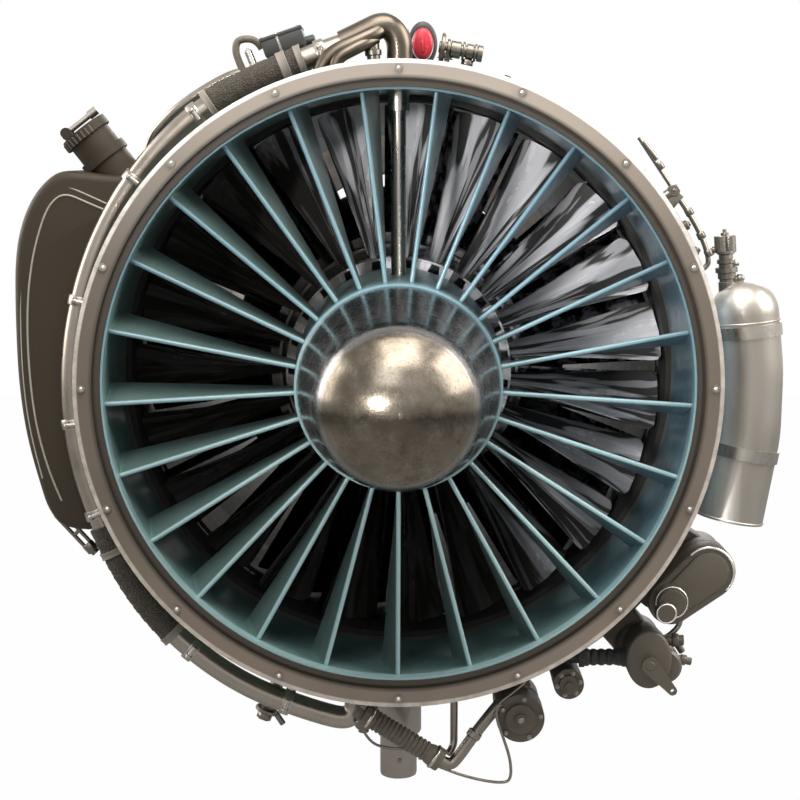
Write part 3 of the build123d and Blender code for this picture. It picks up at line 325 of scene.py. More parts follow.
def tree_node(tree, kind, *inputs, operation=None):
    """A node with its first inputs linked to sockets or set to values."""
    made = tree.nodes.new("ShaderNode" + kind)
    if operation:
        made.operation = operation
    for socket, value in zip(made.inputs, inputs):
        if isinstance(value, bpy.types.NodeSocket):
            tree.links.new(value, socket)
        else:
            socket.default_value = value
    return made


def operator(operation, swapped=False):
    """Arithmetic method of a shader value, with the other value first where swapped."""
    def apply(self, other):
        return self.math(operation, *((other, self) if swapped else (self, other)))
    return apply


class Signal:
    """One shader value, with arithmetic that adds Math nodes."""

    def __init__(self, finish, socket):
        self.finish = finish
        self.socket = socket

    def math(self, operation, first, second):
        return self.finish.node("ShaderNodeMath", {"operation": operation}, {0: first, 1: second})

    __add__ = operator("ADD")
    __radd__ = operator("ADD", swapped=True)
    __sub__ = operator("SUBTRACT")
    __mul__ = operator("MULTIPLY")
    __rmul__ = operator("MULTIPLY", swapped=True)
    __pow__ = operator("POWER")


class Finish:
    """One material: a Principled shader with procedural inputs on Object coordinates."""

    def __init__(self, name, metallic=0.0, specular=0.5, coat=0.0, coat_roughness=0.1, anisotropic=0.0):
        self.material = bpy.data.materials.new(name)
        self.tree = emptied_tree(self.material)
        self.shader = tree_node(self.tree, "BsdfPrincipled")
        tree_node(self.tree, "OutputMaterial", self.shader.outputs[0])
        self.set("Metallic", metallic)
        self.set("Specular IOR Level", specular)
        self.set("Coat Weight", coat)
        self.set("Coat Roughness", coat_roughness)
        self.set("Anisotropic", anisotropic)
        self.position = self.node("ShaderNodeTexCoord", {}, {}, "Object")

    def node(self, kind, settings, inputs, output=0):
        """A node with its settings made first, then the values or links of its sockets."""
        made = self.tree.nodes.new(kind)
        for key, value in settings.items():
            if key == "stops":
                while len(made.color_ramp.elements) < len(value):
                    made.color_ramp.elements.new(0.5)
                for element, (place, colour) in zip(made.color_ramp.elements, value):
                    element.position = place
                    element.color = (*colour, 1.0)
            else:
                setattr(made, key, value)
        for key, value in inputs.items():
            self.plug(made.inputs[key], value)
        return Signal(self, made.outputs[output])

    def plug(self, socket, value):
        """Set a socket to a value or link it to a signal."""
        if isinstance(value, Signal):
            self.tree.links.new(value.socket, socket)
        elif isinstance(value, (tuple, list, Vector)) and len(value) == 3 and socket.type == "RGBA":
            socket.default_value = (*value, 1.0)
        else:
            socket.default_value = value

    def set(self, name, value):
        """Set or link an input of the shader."""
        self.plug(self.shader.inputs[name], value)
        return self

    def parts(self):
        """The X, Y and Z of the position."""
        made = tree_node(self.tree, "SeparateXYZ", self.position.socket)
        return [Signal(self, output) for output in made.outputs]

    def radius(self):
        """Distance from the engine axis."""
        x, y, z = self.parts()
        return (x * x + z * z) ** 0.5

    def turn(self):
        """Angle round the engine axis."""
        x, _, z = self.parts()
        return self.node("ShaderNodeMath", {"operation": "ARCTAN2"}, {0: x, 1: z})

    def point(self, x, y, z):
        """A place made of three values."""
        return self.node("ShaderNodeCombineXYZ", {}, {0: x, 1: y, 2: z})

    def noise(self, scale, detail=3.0, roughness=0.55, stretch=(1, 1, 1), where=None):
        """Noise from 0 to 1 on the position, stretched along the axes."""
        mapped = self.node("ShaderNodeMapping", {}, {0: where or self.position, "Scale": stretch})
        return self.node("ShaderNodeTexNoise", {}, {"Vector": mapped, "Scale": scale, "Detail": detail,
                                                   "Roughness": roughness}, "Fac")

    def range(self, value, low, high, start=0.0, end=1.0):
        """A value taken from one range to another, clamped."""
        return self.node("ShaderNodeMapRange", {}, {0: value, 1: low, 2: high, 3: start, 4: end})

    def blend(self, mask, first, second):
        """A colour between two colours."""
        return self.node("ShaderNodeMix", {"data_type": "RGBA"}, {0: mask, 6: first, 7: second}, 2)

    def rough(self, value, low, high, least, most):
        """Roughness from the least to the most while a value goes from low to high."""
        return self.set("Roughness", self.range(value, low, high, least, most))

    def cells(self, scale, randomness):
        """Distance to the nearest of scattered points."""
        return self.node("ShaderNodeTexVoronoi", {"feature": "F1"},
                         {"Vector": self.position, "Scale": scale, "Randomness": randomness}, "Distance")

    def bump(self, height, distance, strength):
        """Surface relief from a height of 0 to 1."""
        made = self.node("ShaderNodeBump", {}, {"Strength": strength, "Distance": distance, "Height": height})
        return self.set("Normal", made)


def painted(name, colour, rubbed, roughness, wear, relief=0.0, specular=0.35):
    """Satin paint over metal: soft mottling, faint dirt and small rubbed spots."""
    finish = Finish(name, specular=specular)
    mottle = finish.noise(9, 4)
    fine = finish.noise(170, 3)
    dirt = finish.range(finish.noise(4.5, 5, 0.6), 0.42, 0.68)
    tone = finish.blend(mottle, [c * 0.86 for c in colour], [min(1, c * 1.15) for c in colour])
    tone = finish.blend(dirt * 0.35, tone, [c * 0.6 for c in colour])
    spots = finish.range(finish.noise(60, 5, 0.65), 0.70 - 0.06 * wear, 0.76 - 0.06 * wear)
    finish.set("Base Color", finish.blend(spots * wear, tone, rubbed))
    finish.rough(fine, 0.2, 0.8, roughness - 0.07, roughness + 0.09)
    finish.bump(fine, 0.00012 + relief, 0.3)
    return finish


def bright_metal(name, colour, roughness, scale, stretch, depth, relief):
    """Bare metal: fine streaks in tone and gloss."""
    finish = Finish(name, metallic=1.0)
    streak = finish.noise(scale, 5, 0.6, stretch)
    cloud = finish.noise(6, 3)
    pale = [min(1, c * (1 + depth)) for c in colour]
    tone = finish.blend(streak, [c * (1 - depth) for c in colour], pale)
    tone = finish.blend(cloud * 0.5, tone, [c * 0.72 for c in colour])
    finish.set("Base Color", tone)
    finish.rough(streak, 0.25, 0.75, roughness - 0.06, roughness + 0.1)
    finish.bump(streak, relief, 0.25)
    return finish


def make_finishes():
    """Every finish of the engine, by its use."""
    made = {}

    # Flange: brown grey paint with painted light, paler towards the top, and painted shade at the left and
    # right sides; pale bare metal on the outer slope with a painted highlight brighter towards the top;
    # painted shade darkening towards the seal recess
    flange = Finish("flange_paint", specular=0.4)
    radius = flange.radius()
    _, _, z = flange.parts()
    mottle = flange.noise(11, 5)
    brown = flange.blend(mottle, (0.120, 0.094, 0.071), (0.178, 0.144, 0.113))
    # Painted light: the paint grows paler towards the top
    brown = flange.blend(flange.range(z, 0.10, 0.36) * 0.60, brown, (0.36, 0.31, 0.26))
    # Painted shade: darker at the left and right sides
    brown = flange.blend(flange.range(z * z, 0.10, 0.02) * 0.42, brown, (0.045, 0.034, 0.024))
    # Painted shade: near black in the seal recess
    recess = flange.range(radius, 0.3895, 0.3845)
    brown = flange.blend(recess, brown, (0.030, 0.022, 0.014))
    edge = flange.range(radius, 0.4020, 0.4036)
    # Pale bare metal on the outer edge, with a painted highlight that grows brighter towards the top
    rubbed = flange.blend(flange.range(z, 0.02, 0.34), (0.50, 0.44, 0.38), (0.82, 0.79, 0.75))
    scuff = flange.range(flange.noise(45, 5, 0.7), 0.35, 0.6)
    flange.set("Base Color", flange.blend(edge * (0.55 + 0.45 * scuff), brown, rubbed))
    flange.set("Metallic", edge * flange.range(z, 0.0, 0.3, 0.65, 0.15))
    flange.rough(flange.noise(90, 4), 0.25, 0.75, 0.34, 0.52)
    flange.bump(flange.noise(160, 3), 0.0002, 0.35)
    made["flange"] = flange

    # Teal enamel inside the inlet, greyer on the vanes, with painted light bluer towards the right and top,
    # and pale front edges that are partly wear and partly painted highlight; the outside is grey brown
    teal = Finish("teal_enamel", specular=0.5, coat=0.2, coat_roughness=0.2)
    x, y, z = teal.parts()
    radius = teal.radius()
    mottle = teal.noise(7, 5)
    vane = teal.blend(mottle, (0.066, 0.105, 0.096), (0.100, 0.150, 0.138))
    wall = teal.blend(mottle, (0.094, 0.168, 0.158), (0.140, 0.232, 0.220))
    tone = teal.blend(teal.range(radius, 0.366, 0.3695), vane, wall)
    # Painted light: a bluer, lighter tone towards the right and the top
    tone = teal.blend(teal.range(x + z * 0.4, 0.02, 0.36) * 0.8, tone, (0.075, 0.160, 0.225))
    grime = teal.range(teal.noise(16, 6, 0.65), 0.45, 0.72)
    tone = teal.blend(grime * 0.35, tone, (0.040, 0.070, 0.070))
    # Pale front edges: partly edge wear, partly a painted highlight on the rounded leading edges, paler low
    # down and darker at the top
    edge = teal.blend(teal.range(z, -0.12, 0.14), (0.245, 0.360, 0.365), (0.105, 0.190, 0.225))
    tone = teal.blend(teal.range(y, 0.0232, 0.0212) * 0.85, tone, edge)
    outside = teal.range(radius, 0.3738, 0.3744)
    skin = teal.blend(mottle, (0.150, 0.122, 0.098), (0.215, 0.182, 0.150))
    teal.set("Base Color", teal.blend(outside, tone, skin))
    teal.rough(teal.noise(70, 4), 0.25, 0.75, 0.28, 0.44)
    teal.bump(teal.noise(120, 3), 0.00012, 0.3)
    made["teal"] = teal

    # Nose: spun and brushed round the axis, with soft bright and dull patches, and a painted reflection:
    # paler grey beyond the edge of the ball
    nose = Finish("polished_nose", metallic=1.0, anisotropic=0.45)
    _, y, _ = nose.parts()
    radius = nose.radius()
    rings = nose.noise(330, 4, 0.6, (1, 0.9, 1), nose.point(nose.turn() * 0.035, y, radius))
    patches = nose.noise(13, 5, 0.62)
    smears = nose.noise(24, 6, 0.7, (1, 0.45, 1))
    tone = nose.blend(nose.range(patches, 0.34, 0.66), (0.078, 0.064, 0.048), (0.150, 0.128, 0.100))
    tone = nose.blend(nose.range(smears, 0.48, 0.70) * 0.5, tone, (0.240, 0.212, 0.172))
    tone = nose.blend(nose.range(rings, 0.52, 0.72) * 0.4, tone, (0.055, 0.045, 0.034))
    # Painted reflection: paler grey beyond the edge of the ball
    tone = nose.blend(nose.range(radius, 0.086, 0.096) * 0.75, tone, (0.30, 0.30, 0.30))
    nose.set("Base Color", tone)
    nose.rough(rings * 0.5 + smears * 0.5, 0.35, 0.65, 0.16, 0.34)
    nose.bump(rings, 0.0002, 0.35)
    made["nose"] = nose

    # Titanium of the fan: dark brown painted shade, with a paler sector of painted light and long wavy
    # painted highlights, most of them at the upper right
    titanium = Finish("streaked_titanium", specular=0.6)
    x, y, z = titanium.parts()
    radius = titanium.radius()
    turn = titanium.turn()
    smear = titanium.noise(13, 4, 0.55, (1, 0.5, 1))
    broad = titanium.noise(1.0, 2, 0.4, where=titanium.point(turn * 4.5, y * 46, radius * 6))
    thin = titanium.noise(1.0, 2, 0.4, where=titanium.point(turn * 9.0 + 3.0, y * 130, radius * 9))
    # Painted light: a sector at the upper right, paler and with brighter streaks
    painted_light_upper_right = titanium.range(x * 0.85 + z * 0.5 + (smear - 0.5) * 0.12, -0.02, 0.10)
    # Painted highlights: long wavy streaks along the blades
    painted_highlight_streaks = titanium.range(broad, 0.50, 0.545) * 0.85 + titanium.range(thin, 0.53, 0.57) * 0.45
    # Dark brown over the fan, varying at random: painted shade
    tone = titanium.blend(smear, (0.020, 0.017, 0.013), (0.052, 0.045, 0.037))
    tone = titanium.blend(painted_light_upper_right * 0.85, tone, (0.092, 0.090, 0.088))
    titanium.set("Base Color", titanium.blend(painted_highlight_streaks * (0.06 + 0.94 * painted_light_upper_right), tone, (0.98, 0.97, 1.0)))
    titanium.set("Metallic", 0.25 + 0.05 * painted_light_upper_right)
    titanium.rough(broad * 0.5 + smear * 0.5, 0.35, 0.65, 0.14, 0.30)
    titanium.bump(broad * 0.6 + smear * 0.4, 0.008, 0.5)
    made["titanium"] = titanium

    # Stages behind the first fan: the same metal in shadow colours, with painted highlights on the wave
    # crests at the upper right
    deep = Finish("deep_titanium", metallic=0.6)
    x, _, z = deep.parts()
    wave = deep.noise(40, 5, 0.6)
    # Painted highlights at the upper right, on the wave crests
    painted_light_upper_right = deep.range(x * 0.85 + z * 0.5, 0.05, 0.20)
    tone = deep.blend(wave, (0.020, 0.018, 0.015), (0.060, 0.055, 0.048))
    deep.set("Base Color", deep.blend(painted_light_upper_right * deep.range(wave, 0.45, 0.6), tone, (0.75, 0.74, 0.78)))
    deep.rough(wave, 0.3, 0.7, 0.18, 0.36)
    made["deep"] = deep

    # Cases: satin and a little rubbed outside, painted shade inside, where the wall follows the taper of the
    # duct
    case = Finish("satin_case", specular=0.35)
    _, y, _ = case.parts()
    mottle = case.noise(9, 5)
    satin = case.blend(mottle, (0.255, 0.226, 0.188), (0.340, 0.305, 0.258))
    satin = case.blend(case.range(case.noise(38, 6, 0.7), 0.60, 0.72) * 0.4, satin, (0.50, 0.465, 0.41))
    # Painted shade: near black inside the case
    painted_inner_shade = case.blend(mottle, (0.010, 0.009, 0.007), (0.026, 0.023, 0.019))
    wall = case.radius() + case.range(y, DUCT_FRONT, DUCT_REAR, 0.0, DUCT_TAPER)
    outside = case.range(wall, 0.3672, 0.3684)
    case.set("Base Color", case.blend(outside, painted_inner_shade, satin))
    case.set("Metallic", outside * 0.5)
    case.rough(case.noise(85, 4), 0.25, 0.75, 0.32, 0.46)
    made["case"] = case

    # Middle case: satin outside, painted shade on the struts inside
    core = Finish("middle_case", metallic=0.4)
    mottle = core.noise(14, 5)
    # Painted shade: near black on the struts inside
    painted_inner_shade = core.blend(mottle, (0.012, 0.011, 0.009), (0.034, 0.030, 0.025))
    satin = core.blend(mottle, (0.27, 0.24, 0.20), (0.33, 0.295, 0.25))
    core.set("Base Color", core.blend(core.range(core.radius(), 0.362, 0.366), painted_inner_shade, satin))
    core.rough(core.noise(80, 4), 0.25, 0.75, 0.34, 0.50)
    made["core"] = core

    # Hot end: straw and brown heat tints along the axis, and painted shade inside the nozzle
    hot = Finish("heat_tinted_steel", metallic=1.0)
    _, y, _ = hot.parts()
    cloud = hot.noise(7, 5, 0.6)
    along = hot.range(y + cloud * 0.12, 1.45, 2.02)
    tint = hot.node("ShaderNodeValToRGB", {"stops": [(0.0, (0.40, 0.36, 0.31)), (0.35, (0.42, 0.33, 0.22)),
                                                     (0.65, (0.30, 0.19, 0.13)), (1.0, (0.17, 0.15, 0.18))]},
                    {0: along})
    streak = hot.noise(30, 5, 0.65, (1, 0.12, 1))
    tint = hot.blend(hot.range(streak, 0.4, 0.75) * 0.5, tint, (0.14, 0.12, 0.11))
    wall = hot.radius() + hot.range(y, DUCT_REAR, NOZZLE_REAR, 0.0, NOZZLE_TAPER)
    # Painted shade: near black inside the nozzle
    hot.set("Base Color", hot.blend(hot.range(wall, 0.3290, 0.3304), (0.022, 0.019, 0.016), tint))
    hot.rough(streak, 0.3, 0.7, 0.26, 0.46)
    hot.bump(streak, 0.0002, 0.3)
    made["hot"] = hot

    # Plain metals and paints: colour, roughness, then the scale, depth and relief of the streaks or the wear
    for use, name, colour, roughness, scale, depth, relief in (
        ("steel", "turned_steel", (0.44, 0.405, 0.36), 0.27, 70, 0.12, 0.00005),
        ("clamp", "clamp_steel", (0.36, 0.33, 0.29), 0.32, 60, 0.15, 0.00005),
        # The elbow's metal: a darker copy of the pipe metal, painted shade
        ("elbow", "elbow_metal_in_painted_shade", (0.120, 0.099, 0.076), 0.30, 40, 0.3, 0.00004),
        ("thin", "thin_tube_steel", (0.225, 0.200, 0.165), 0.30, 60, 0.12, 0.00004),
        ("valve", "valve_metal", (0.215, 0.192, 0.160), 0.36, 110, 0.25, 0.00005),
        ("fitting", "dark_fitting", (0.17, 0.15, 0.125), 0.34, 90, 0.25, 0.00006),
        ("rim", "polished_rim", (0.80, 0.76, 0.70), 0.22, 40, 0.08, 0.00003),
        ("screw", "dull_screw", (0.27, 0.24, 0.20), 0.34, 120, 0.25, 0.00005),
        ("pipe", "pipe_metal", (0.315, 0.276, 0.232), 0.28, 30, 0.2, 0.00004),
    ):
        made[use] = bright_metal(name, colour, roughness, scale, (1, 1, 1), depth, relief)
    made["bowl"] = bright_metal("filter_bowl", (0.27, 0.242, 0.208), 0.34, 40, (0.3, 0.3, 1), 0.14, 0.00005)
    for use, name, colour, rubbed, roughness, wear in (
        ("abradable", "rub_strip_filler", (0.020, 0.020, 0.018), (0.10, 0.10, 0.09), 0.75, 0.2),
        # Pale beads of the tank: partly the weld beads' colour, partly painted highlight
        ("bead", "weld_bead_and_painted_highlight", (0.33, 0.30, 0.25), (0.60, 0.56, 0.50), 0.36, 0.4),
        ("tape", "sleeve_tape", (0.20, 0.175, 0.145), (0.42, 0.38, 0.33), 0.55, 0.3),
        ("red", "red_cap", (0.47, 0.030, 0.045), (0.70, 0.25, 0.25), 0.32, 0.15),
        ("black", "black_cover", (0.040, 0.040, 0.038), (0.25, 0.24, 0.22), 0.42, 0.5),
    ):
        made[use] = painted(name, colour, rubbed, roughness, wear)
    made["tank"] = painted("tank_enamel", (0.040, 0.030, 0.019), (0.16, 0.14, 0.11), 0.50, 0.15, 0.0, 0.18)
    made["casting"] = painted("cast_housing", (0.098, 0.082, 0.063), (0.32, 0.285, 0.24), 0.46, 0.35, 0.0003)
    made["casting"].set("Metallic", 0.35)

    # Bottle: brushed along its length, with painted light that makes it paler towards the engine
    brushed = Finish("brushed_bottle", metallic=0.85)
    x, _, _ = brushed.parts()
    grain = brushed.noise(60, 5, 0.6, (1, 1, 0.12))
    cloud = brushed.noise(9, 4, 0.5)
    tone = brushed.blend(cloud, (0.29, 0.262, 0.225), (0.37, 0.335, 0.290))
    # Painted light: paler on the side towards the engine
    tone = brushed.blend(brushed.range(x, 0.446, 0.424), tone, (0.78, 0.74, 0.68))
    brushed.set("Base Color", brushed.blend(brushed.range(grain, 0.5, 0.8) * 0.35, tone, (0.20, 0.18, 0.155)))
    brushed.rough(grain, 0.3, 0.7, 0.30, 0.42)
    brushed.bump(grain, 0.00006, 0.3)
    made["brushed"] = brushed

    # Hoses: brown braid at the bottom, black rubber at the lower right
    rubber = Finish("hose_cover", specular=0.35)
    x, _, _ = rubber.parts()
    braid = rubber.cells(420.0, 0.5)
    fleck = rubber.noise(150, 4, 0.65)
    brown = rubber.blend(fleck, (0.052, 0.042, 0.030), (0.190, 0.160, 0.122))
    black = rubber.blend(fleck, (0.012, 0.011, 0.010), (0.035, 0.033, 0.031))
    rubber.set("Base Color", rubber.blend(rubber.range(x, 0.14, 0.16), brown, black))
    rubber.rough(fleck, 0.25, 0.75, 0.42, 0.66)
    rubber.bump(braid, 0.0006, 0.6)
    made["rubber"] = rubber

    # Sleeves: knotted cloth, the same in every direction
    sleeve = Finish("woven_sleeve", specular=0.2)
    knot = sleeve.cells(330.0, 0.7)
    weave = sleeve.range(knot, 0.05, 0.62, 1.0, 0.0)
    fleck = sleeve.noise(120, 5, 0.7)
    tone = sleeve.blend(weave * 0.45 + fleck * 0.55, (0.014, 0.012, 0.009), (0.128, 0.107, 0.084))
    sleeve.set("Base Color", tone)
    sleeve.rough(fleck, 0.2, 0.8, 0.62, 0.85)
    sleeve.bump(weave, 0.0012, 0.8)
    made["sleeve"] = sleeve
    return made


finishes = make_finishes()


def dress(piece, slot, body="engine_frame"):
    """Give a new piece its finish and the body that carries it."""
    piece.data.materials.clear()
    piece.data.materials.append(finishes[slot].material)
    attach(piece, body)
    return piece


# CAD nodes whose finish differs from their slot's
OWN_FINISH = {"fan_stator": "deep", "second_fan": "deep", "flange_screws": "screw", "bottle": "brushed",
              "intermediate_case": "core", "compressor_case": "core",
              "filler_neck": "tank", "filler_cap": "tank", "throttle_lever": "casting"}


def finish_nodes():
    """Give every CAD node the finish of its material slot, or its own variant of it."""
    for subpart in frame["record"]["subparts"]:
        node = frame["nodes"][subpart["node"]]
        material = finishes[OWN_FINISH.get(subpart["node"], subpart["material_slot"])].material
        if not node.material_slots:
            node.data.materials.append(material)
        for place in node.material_slots:
            place.material = material


WHITE = (1.0, 1.0, 1.0, 1.0)
PHOTO_SIZE = 800  # pixels, the unit of the camera's shifts

# Name, place, aim, size, power and colour
LAMPS = (
    ("right_lamp", (2.5, -0.35, 1.45), (0.0, 0.0, 0.0), 2.0, 112, (1.0, 0.98, 0.97)),
    ("left_lamp", (-2.6, 0.7, 0.9), (-0.1, -0.1, 0.0), 1.8, 70, (1.0, 0.97, 0.94)),
    ("top_lamp", (0.1, -0.95, 2.7), (0.0, 0.1, 0.2), 2.0, 112, (1.0, 0.98, 0.95)),
    ("front_lamp", (-0.9, -3.2, 2.9), (0.0, 0.2, 0.1), 2.2, 74, (0.96, 0.98, 1.0)),
    ("rear_lamp", (1.6, 4.6, 2.4), (0.0, 1.0, 0.0), 2.2, 90, (1.0, 0.98, 0.96)),
)


def make_lamp(name, kind, place, aim, power):
    """Lamp at a place, turned towards its aim."""
    bpy.ops.object.light_add(type=kind, location=place)
    lamp = bpy.context.object
    lamp.name = name
    lamp.data.energy = power
    lamp.rotation_euler = (Vector(aim) - Vector(place)).to_track_quat("-Z", "Y").to_euler()
    return lamp.data


def set_up_studio():
    """Camera at the photograph's angle, pale floor, white background and soft lamps."""
    distance, rise = 2.560, radians(6.5)
    bpy.ops.object.camera_add()
    camera = bpy.context.object
    camera.location = (0, -distance * cos(rise), distance * sin(rise))
    camera.rotation_euler = (pi / 2 - rise, 0, 0)
    camera.data.sensor_width = 36.0
    camera.data.lens = 92.16  # 2048 pixels
    camera.data.shift_x = 1.5 / PHOTO_SIZE
    camera.data.shift_y = -11.5 / PHOTO_SIZE
    camera.data.clip_end = 60
    bpy.context.scene.camera = camera

    bpy.context.scene.view_settings.view_transform = "Standard"
    world = bpy.data.worlds.new("studio")
    bpy.context.scene.world = world
    tree = emptied_tree(world)
    rays = tree_node(tree, "LightPath").outputs
    seen = tree_node(tree, "Math", rays["Is Camera Ray"], rays["Is Glossy Ray"], operation="MAXIMUM")
    seen = tree_node(tree, "Math", seen.outputs[0], rays["Is Transmission Ray"], operation="MAXIMUM")
    room = tree_node(tree, "Background", (0.95, 0.98, 1.0, 1.0), 0.42)
    backdrop = tree_node(tree, "Background", WHITE, 1.0)
    mixed = tree_node(tree, "MixShader", seen.outputs[0], room.outputs[0], backdrop.outputs[0])
    tree_node(tree, "OutputWorld", mixed.outputs[0])

    clear_selection()
    bpy.ops.mesh.primitive_plane_add(size=14, location=(0, 1.0, -0.95))
    floor = bpy.context.object
    floor.name = "studio_floor"
    floor.data.materials.append(floor_material())

    for name, place, aim, size, power, colour in LAMPS:
        lamp = make_lamp(name, "AREA", place, aim, power)
        lamp.shape = "SQUARE"
        lamp.size = size
        lamp.color = colour

    # Narrow lamp through the inlet on the blades of the upper right
    lamp = make_lamp("inlet_lamp", "SPOT", (-1.15, -2.5, 0.35), (0.19, 0.25, 0.11), 540)
    lamp.spot_size = radians(11.5)
    lamp.spot_blend = 0.7
    lamp.shadow_soft_size = 0.25


def floor_material():
    """Pale floor that is nearly white to the camera and still takes a shadow."""
    material = bpy.data.materials.new("pale_floor")
    tree = emptied_tree(material)
    rays = tree_node(tree, "LightPath").outputs
    seen = tree_node(tree, "Math", rays["Is Camera Ray"], 0.985, operation="MULTIPLY")
    paint = tree_node(tree, "BsdfDiffuse", (0.32, 0.32, 0.32, 1.0))
    glow = tree_node(tree, "Emission", WHITE, 1.0)
    mixed = tree_node(tree, "MixShader", seen.outputs[0], paint.outputs[0], glow.outputs[0])
    tree_node(tree, "OutputMaterial", mixed.outputs[0])
    return material


# Fan blades

FAN_COUNT = 23
FAN_START = 4.0
FAN_MIDDLE = 0.266
FAN_RIM = 0.150
FAN_TIP = 0.362


def make_fan_blades():
    """Wide twisted blades: an airfoil loop extruded along the span, turned and widened at each step."""
    steps = 11
    root_chord, tip_chord = 0.070, 0.099
    root_stagger, tip_stagger = 12.0, 56.0
    thickness, camber = 0.0072, 0.0075
    sides = 20
    clear_selection()
    bpy.ops.mesh.primitive_circle_add(vertices=sides, radius=1, location=(0, 0, FAN_RIM))
    blade = bpy.context.object
    blade.scale = (thickness / 2, root_chord / 2, 1)
    settle(blade)
    blade.location = (0, 0, 0)
    for vertex in blade.data.vertices:
        share = vertex.co.y / (root_chord / 2)
        vertex.co.x += camber * (1 - share * share) - camber / 2
    bpy.ops.object.mode_set(mode="EDIT")
    bpy.ops.mesh.select_all(action="SELECT")
    bpy.ops.transform.rotate(value=-radians(root_stagger), orient_axis="Z", center_override=(0, 0, 0))
    rise = (FAN_TIP - FAN_RIM) / steps
    for step in range(1, steps + 1):
        share, before = step / steps, (step - 1) / steps
        widen = tip_chord - root_chord
        grow = (root_chord + share * widen) / (root_chord + before * widen)
        turn = (tip_stagger - root_stagger) * (share**1.15 - before**1.15)
        bpy.ops.mesh.extrude_region_move(TRANSFORM_OT_translate={"value": (0, 0, rise)})
        bpy.ops.transform.resize(value=(grow, grow, 1), center_override=(0, 0, 0))
        bpy.ops.transform.rotate(value=-radians(turn), orient_axis="Z", center_override=(0, 0, 0))
    bpy.ops.mesh.edge_face_add()
    bpy.ops.object.mode_set(mode="OBJECT")
    fill_open_ends(blade)
    modify(blade, "SUBSURF", levels=1, render_levels=1)
    smooth(blade, 50)
    pitch, gap = 360 / FAN_COUNT, 0.12
    low, high, reach = FAN_RIM + 0.0003, FAN_RIM + 0.003, 0.038
    outline = [(low, -reach), (high, -reach), (high, reach), (low, reach)]
    platform = arc_piece("blade_platform", outline, 0, pitch / 2 - gap)
    blade = join([blade, platform], "fan_blade")
    middle = Matrix.Translation((0, FAN_MIDDLE, 0))
    places = [middle @ Matrix.Rotation(radians(FAN_START + i * pitch), 4, "Y") for i in range(FAN_COUNT)]
    blades = spread(blade, places, "fan_blade_set")
    dress(blades, "titanium", "low_rotor")
    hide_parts("fan_blades")


# Screws of the inlet flange and bolts of the case joints


def make_screw_centres():
    """Small bright centres on the screws of the inlet flange."""
    count, circle, head = 16, 0.3965, -0.0034
    places = [pose(at(i * 360 / count, circle, head), FORWARD) for i in range(count)]
    outline = [(0, 0), (0.0024, 0), (0.0022, 0.0008), (0.0012, 0.0013), (0, 0.0014)]
    dome = lathe("screw_centre", outline, 14)
    dress(spread(dome, places, "flange_screw_centres"), "rim")


def make_case_bolts():
    """Rings of bolt heads and nuts on the joint flanges."""
    joints = (
        ("inlet_joint_bolts", "fan_case_joint_nuts", 36, 0.386, 0.205, 0.0040),
        ("middle_joint_bolts", "middle_joint_nuts", 36, 0.382, 0.420, 0.0042),
        ("duct_joint_bolts", "duct_joint_nuts", 40, 0.382, DUCT_FRONT, 0.0042),
        ("nozzle_joint_bolts", "nozzle_joint_nuts", 40, 0.345, DUCT_REAR, 0.0042),
    )
    thickness = 0.008
    for bolts, nuts, count, radius, station, size in joints:
        for name, face, facing in ((bolts, station - thickness, FORWARD),
                                   (nuts, station + thickness, AFT)):
            bolt = hexagon(name, size, size * 1.05, size * 0.5, size * 0.3)
            places = [pose(at((i + 0.5) * 360 / count, radius, face), facing) for i in range(count)]
            dress(spread(bolt, places, name), "steel")


# Oil tank and its filler

NECK_AXIS = Vector((-sin(radians(38)), 0, cos(radians(38))))
CAP_FOOT = Vector((-0.356, 0.171, 0.2468)) + NECK_AXIS * 0.0823

# X and Z places in millimetres: the tank's outline, and the pale beads on its face and along its crest,
# partly weld beads and partly a painted highlight along the tank's rounded edge
TANK_OUTER = ((-364, 263), (-405, 268), (-440, 271), (-463, 255), (-483, 228), (-497, 190), (-503, 150),
              (-504, 100), (-503.5, 50), (-502, 0), (-497, -50), (-489, -95), (-477, -140), (-466, -178),
              (-446, -203), (-400, -207))
FACE_BEAD = ((-372, 214), (-405, 228), (-434, 241), (-452, 230), (-465, 205), (-479, 155), (-486, 100),
             (-487, 50), (-485, 0), (-480, -50), (-471, -95), (-457, -140), (-446, -165))
CREST_BEAD = ((-368, 221), (-402, 237), (-437, 252), (-457, 240), (-473, 214), (-487, 175), (-493, 130),
              (-495.5, 90), (-495.5, 40), (-494, 0), (-490, -45), (-482, -92), (-471, -135))


def outline_mesh(name, corners, front, rear):
    """Closed outline of X and Z places, filled and drawn out from one station to another."""
    clear_selection()
    bpy.ops.mesh.primitive_circle_add(vertices=len(corners), radius=1, fill_type="NGON", location=(0, 0, 0))
    piece = bpy.context.object
    piece.name = name
    for vertex, (x, z) in zip(piece.data.vertices, corners):
        vertex.co = (x, front, z)
    bpy.ops.object.mode_set(mode="EDIT")
    bpy.ops.mesh.select_all(action="SELECT")
    bpy.ops.mesh.extrude_region_move(TRANSFORM_OT_translate={"value": (0, rear - front, 0)})
    bpy.ops.mesh.select_all(action="SELECT")
    bpy.ops.mesh.normals_make_consistent(inside=False)
    bpy.ops.object.mode_set(mode="OBJECT")
    return piece


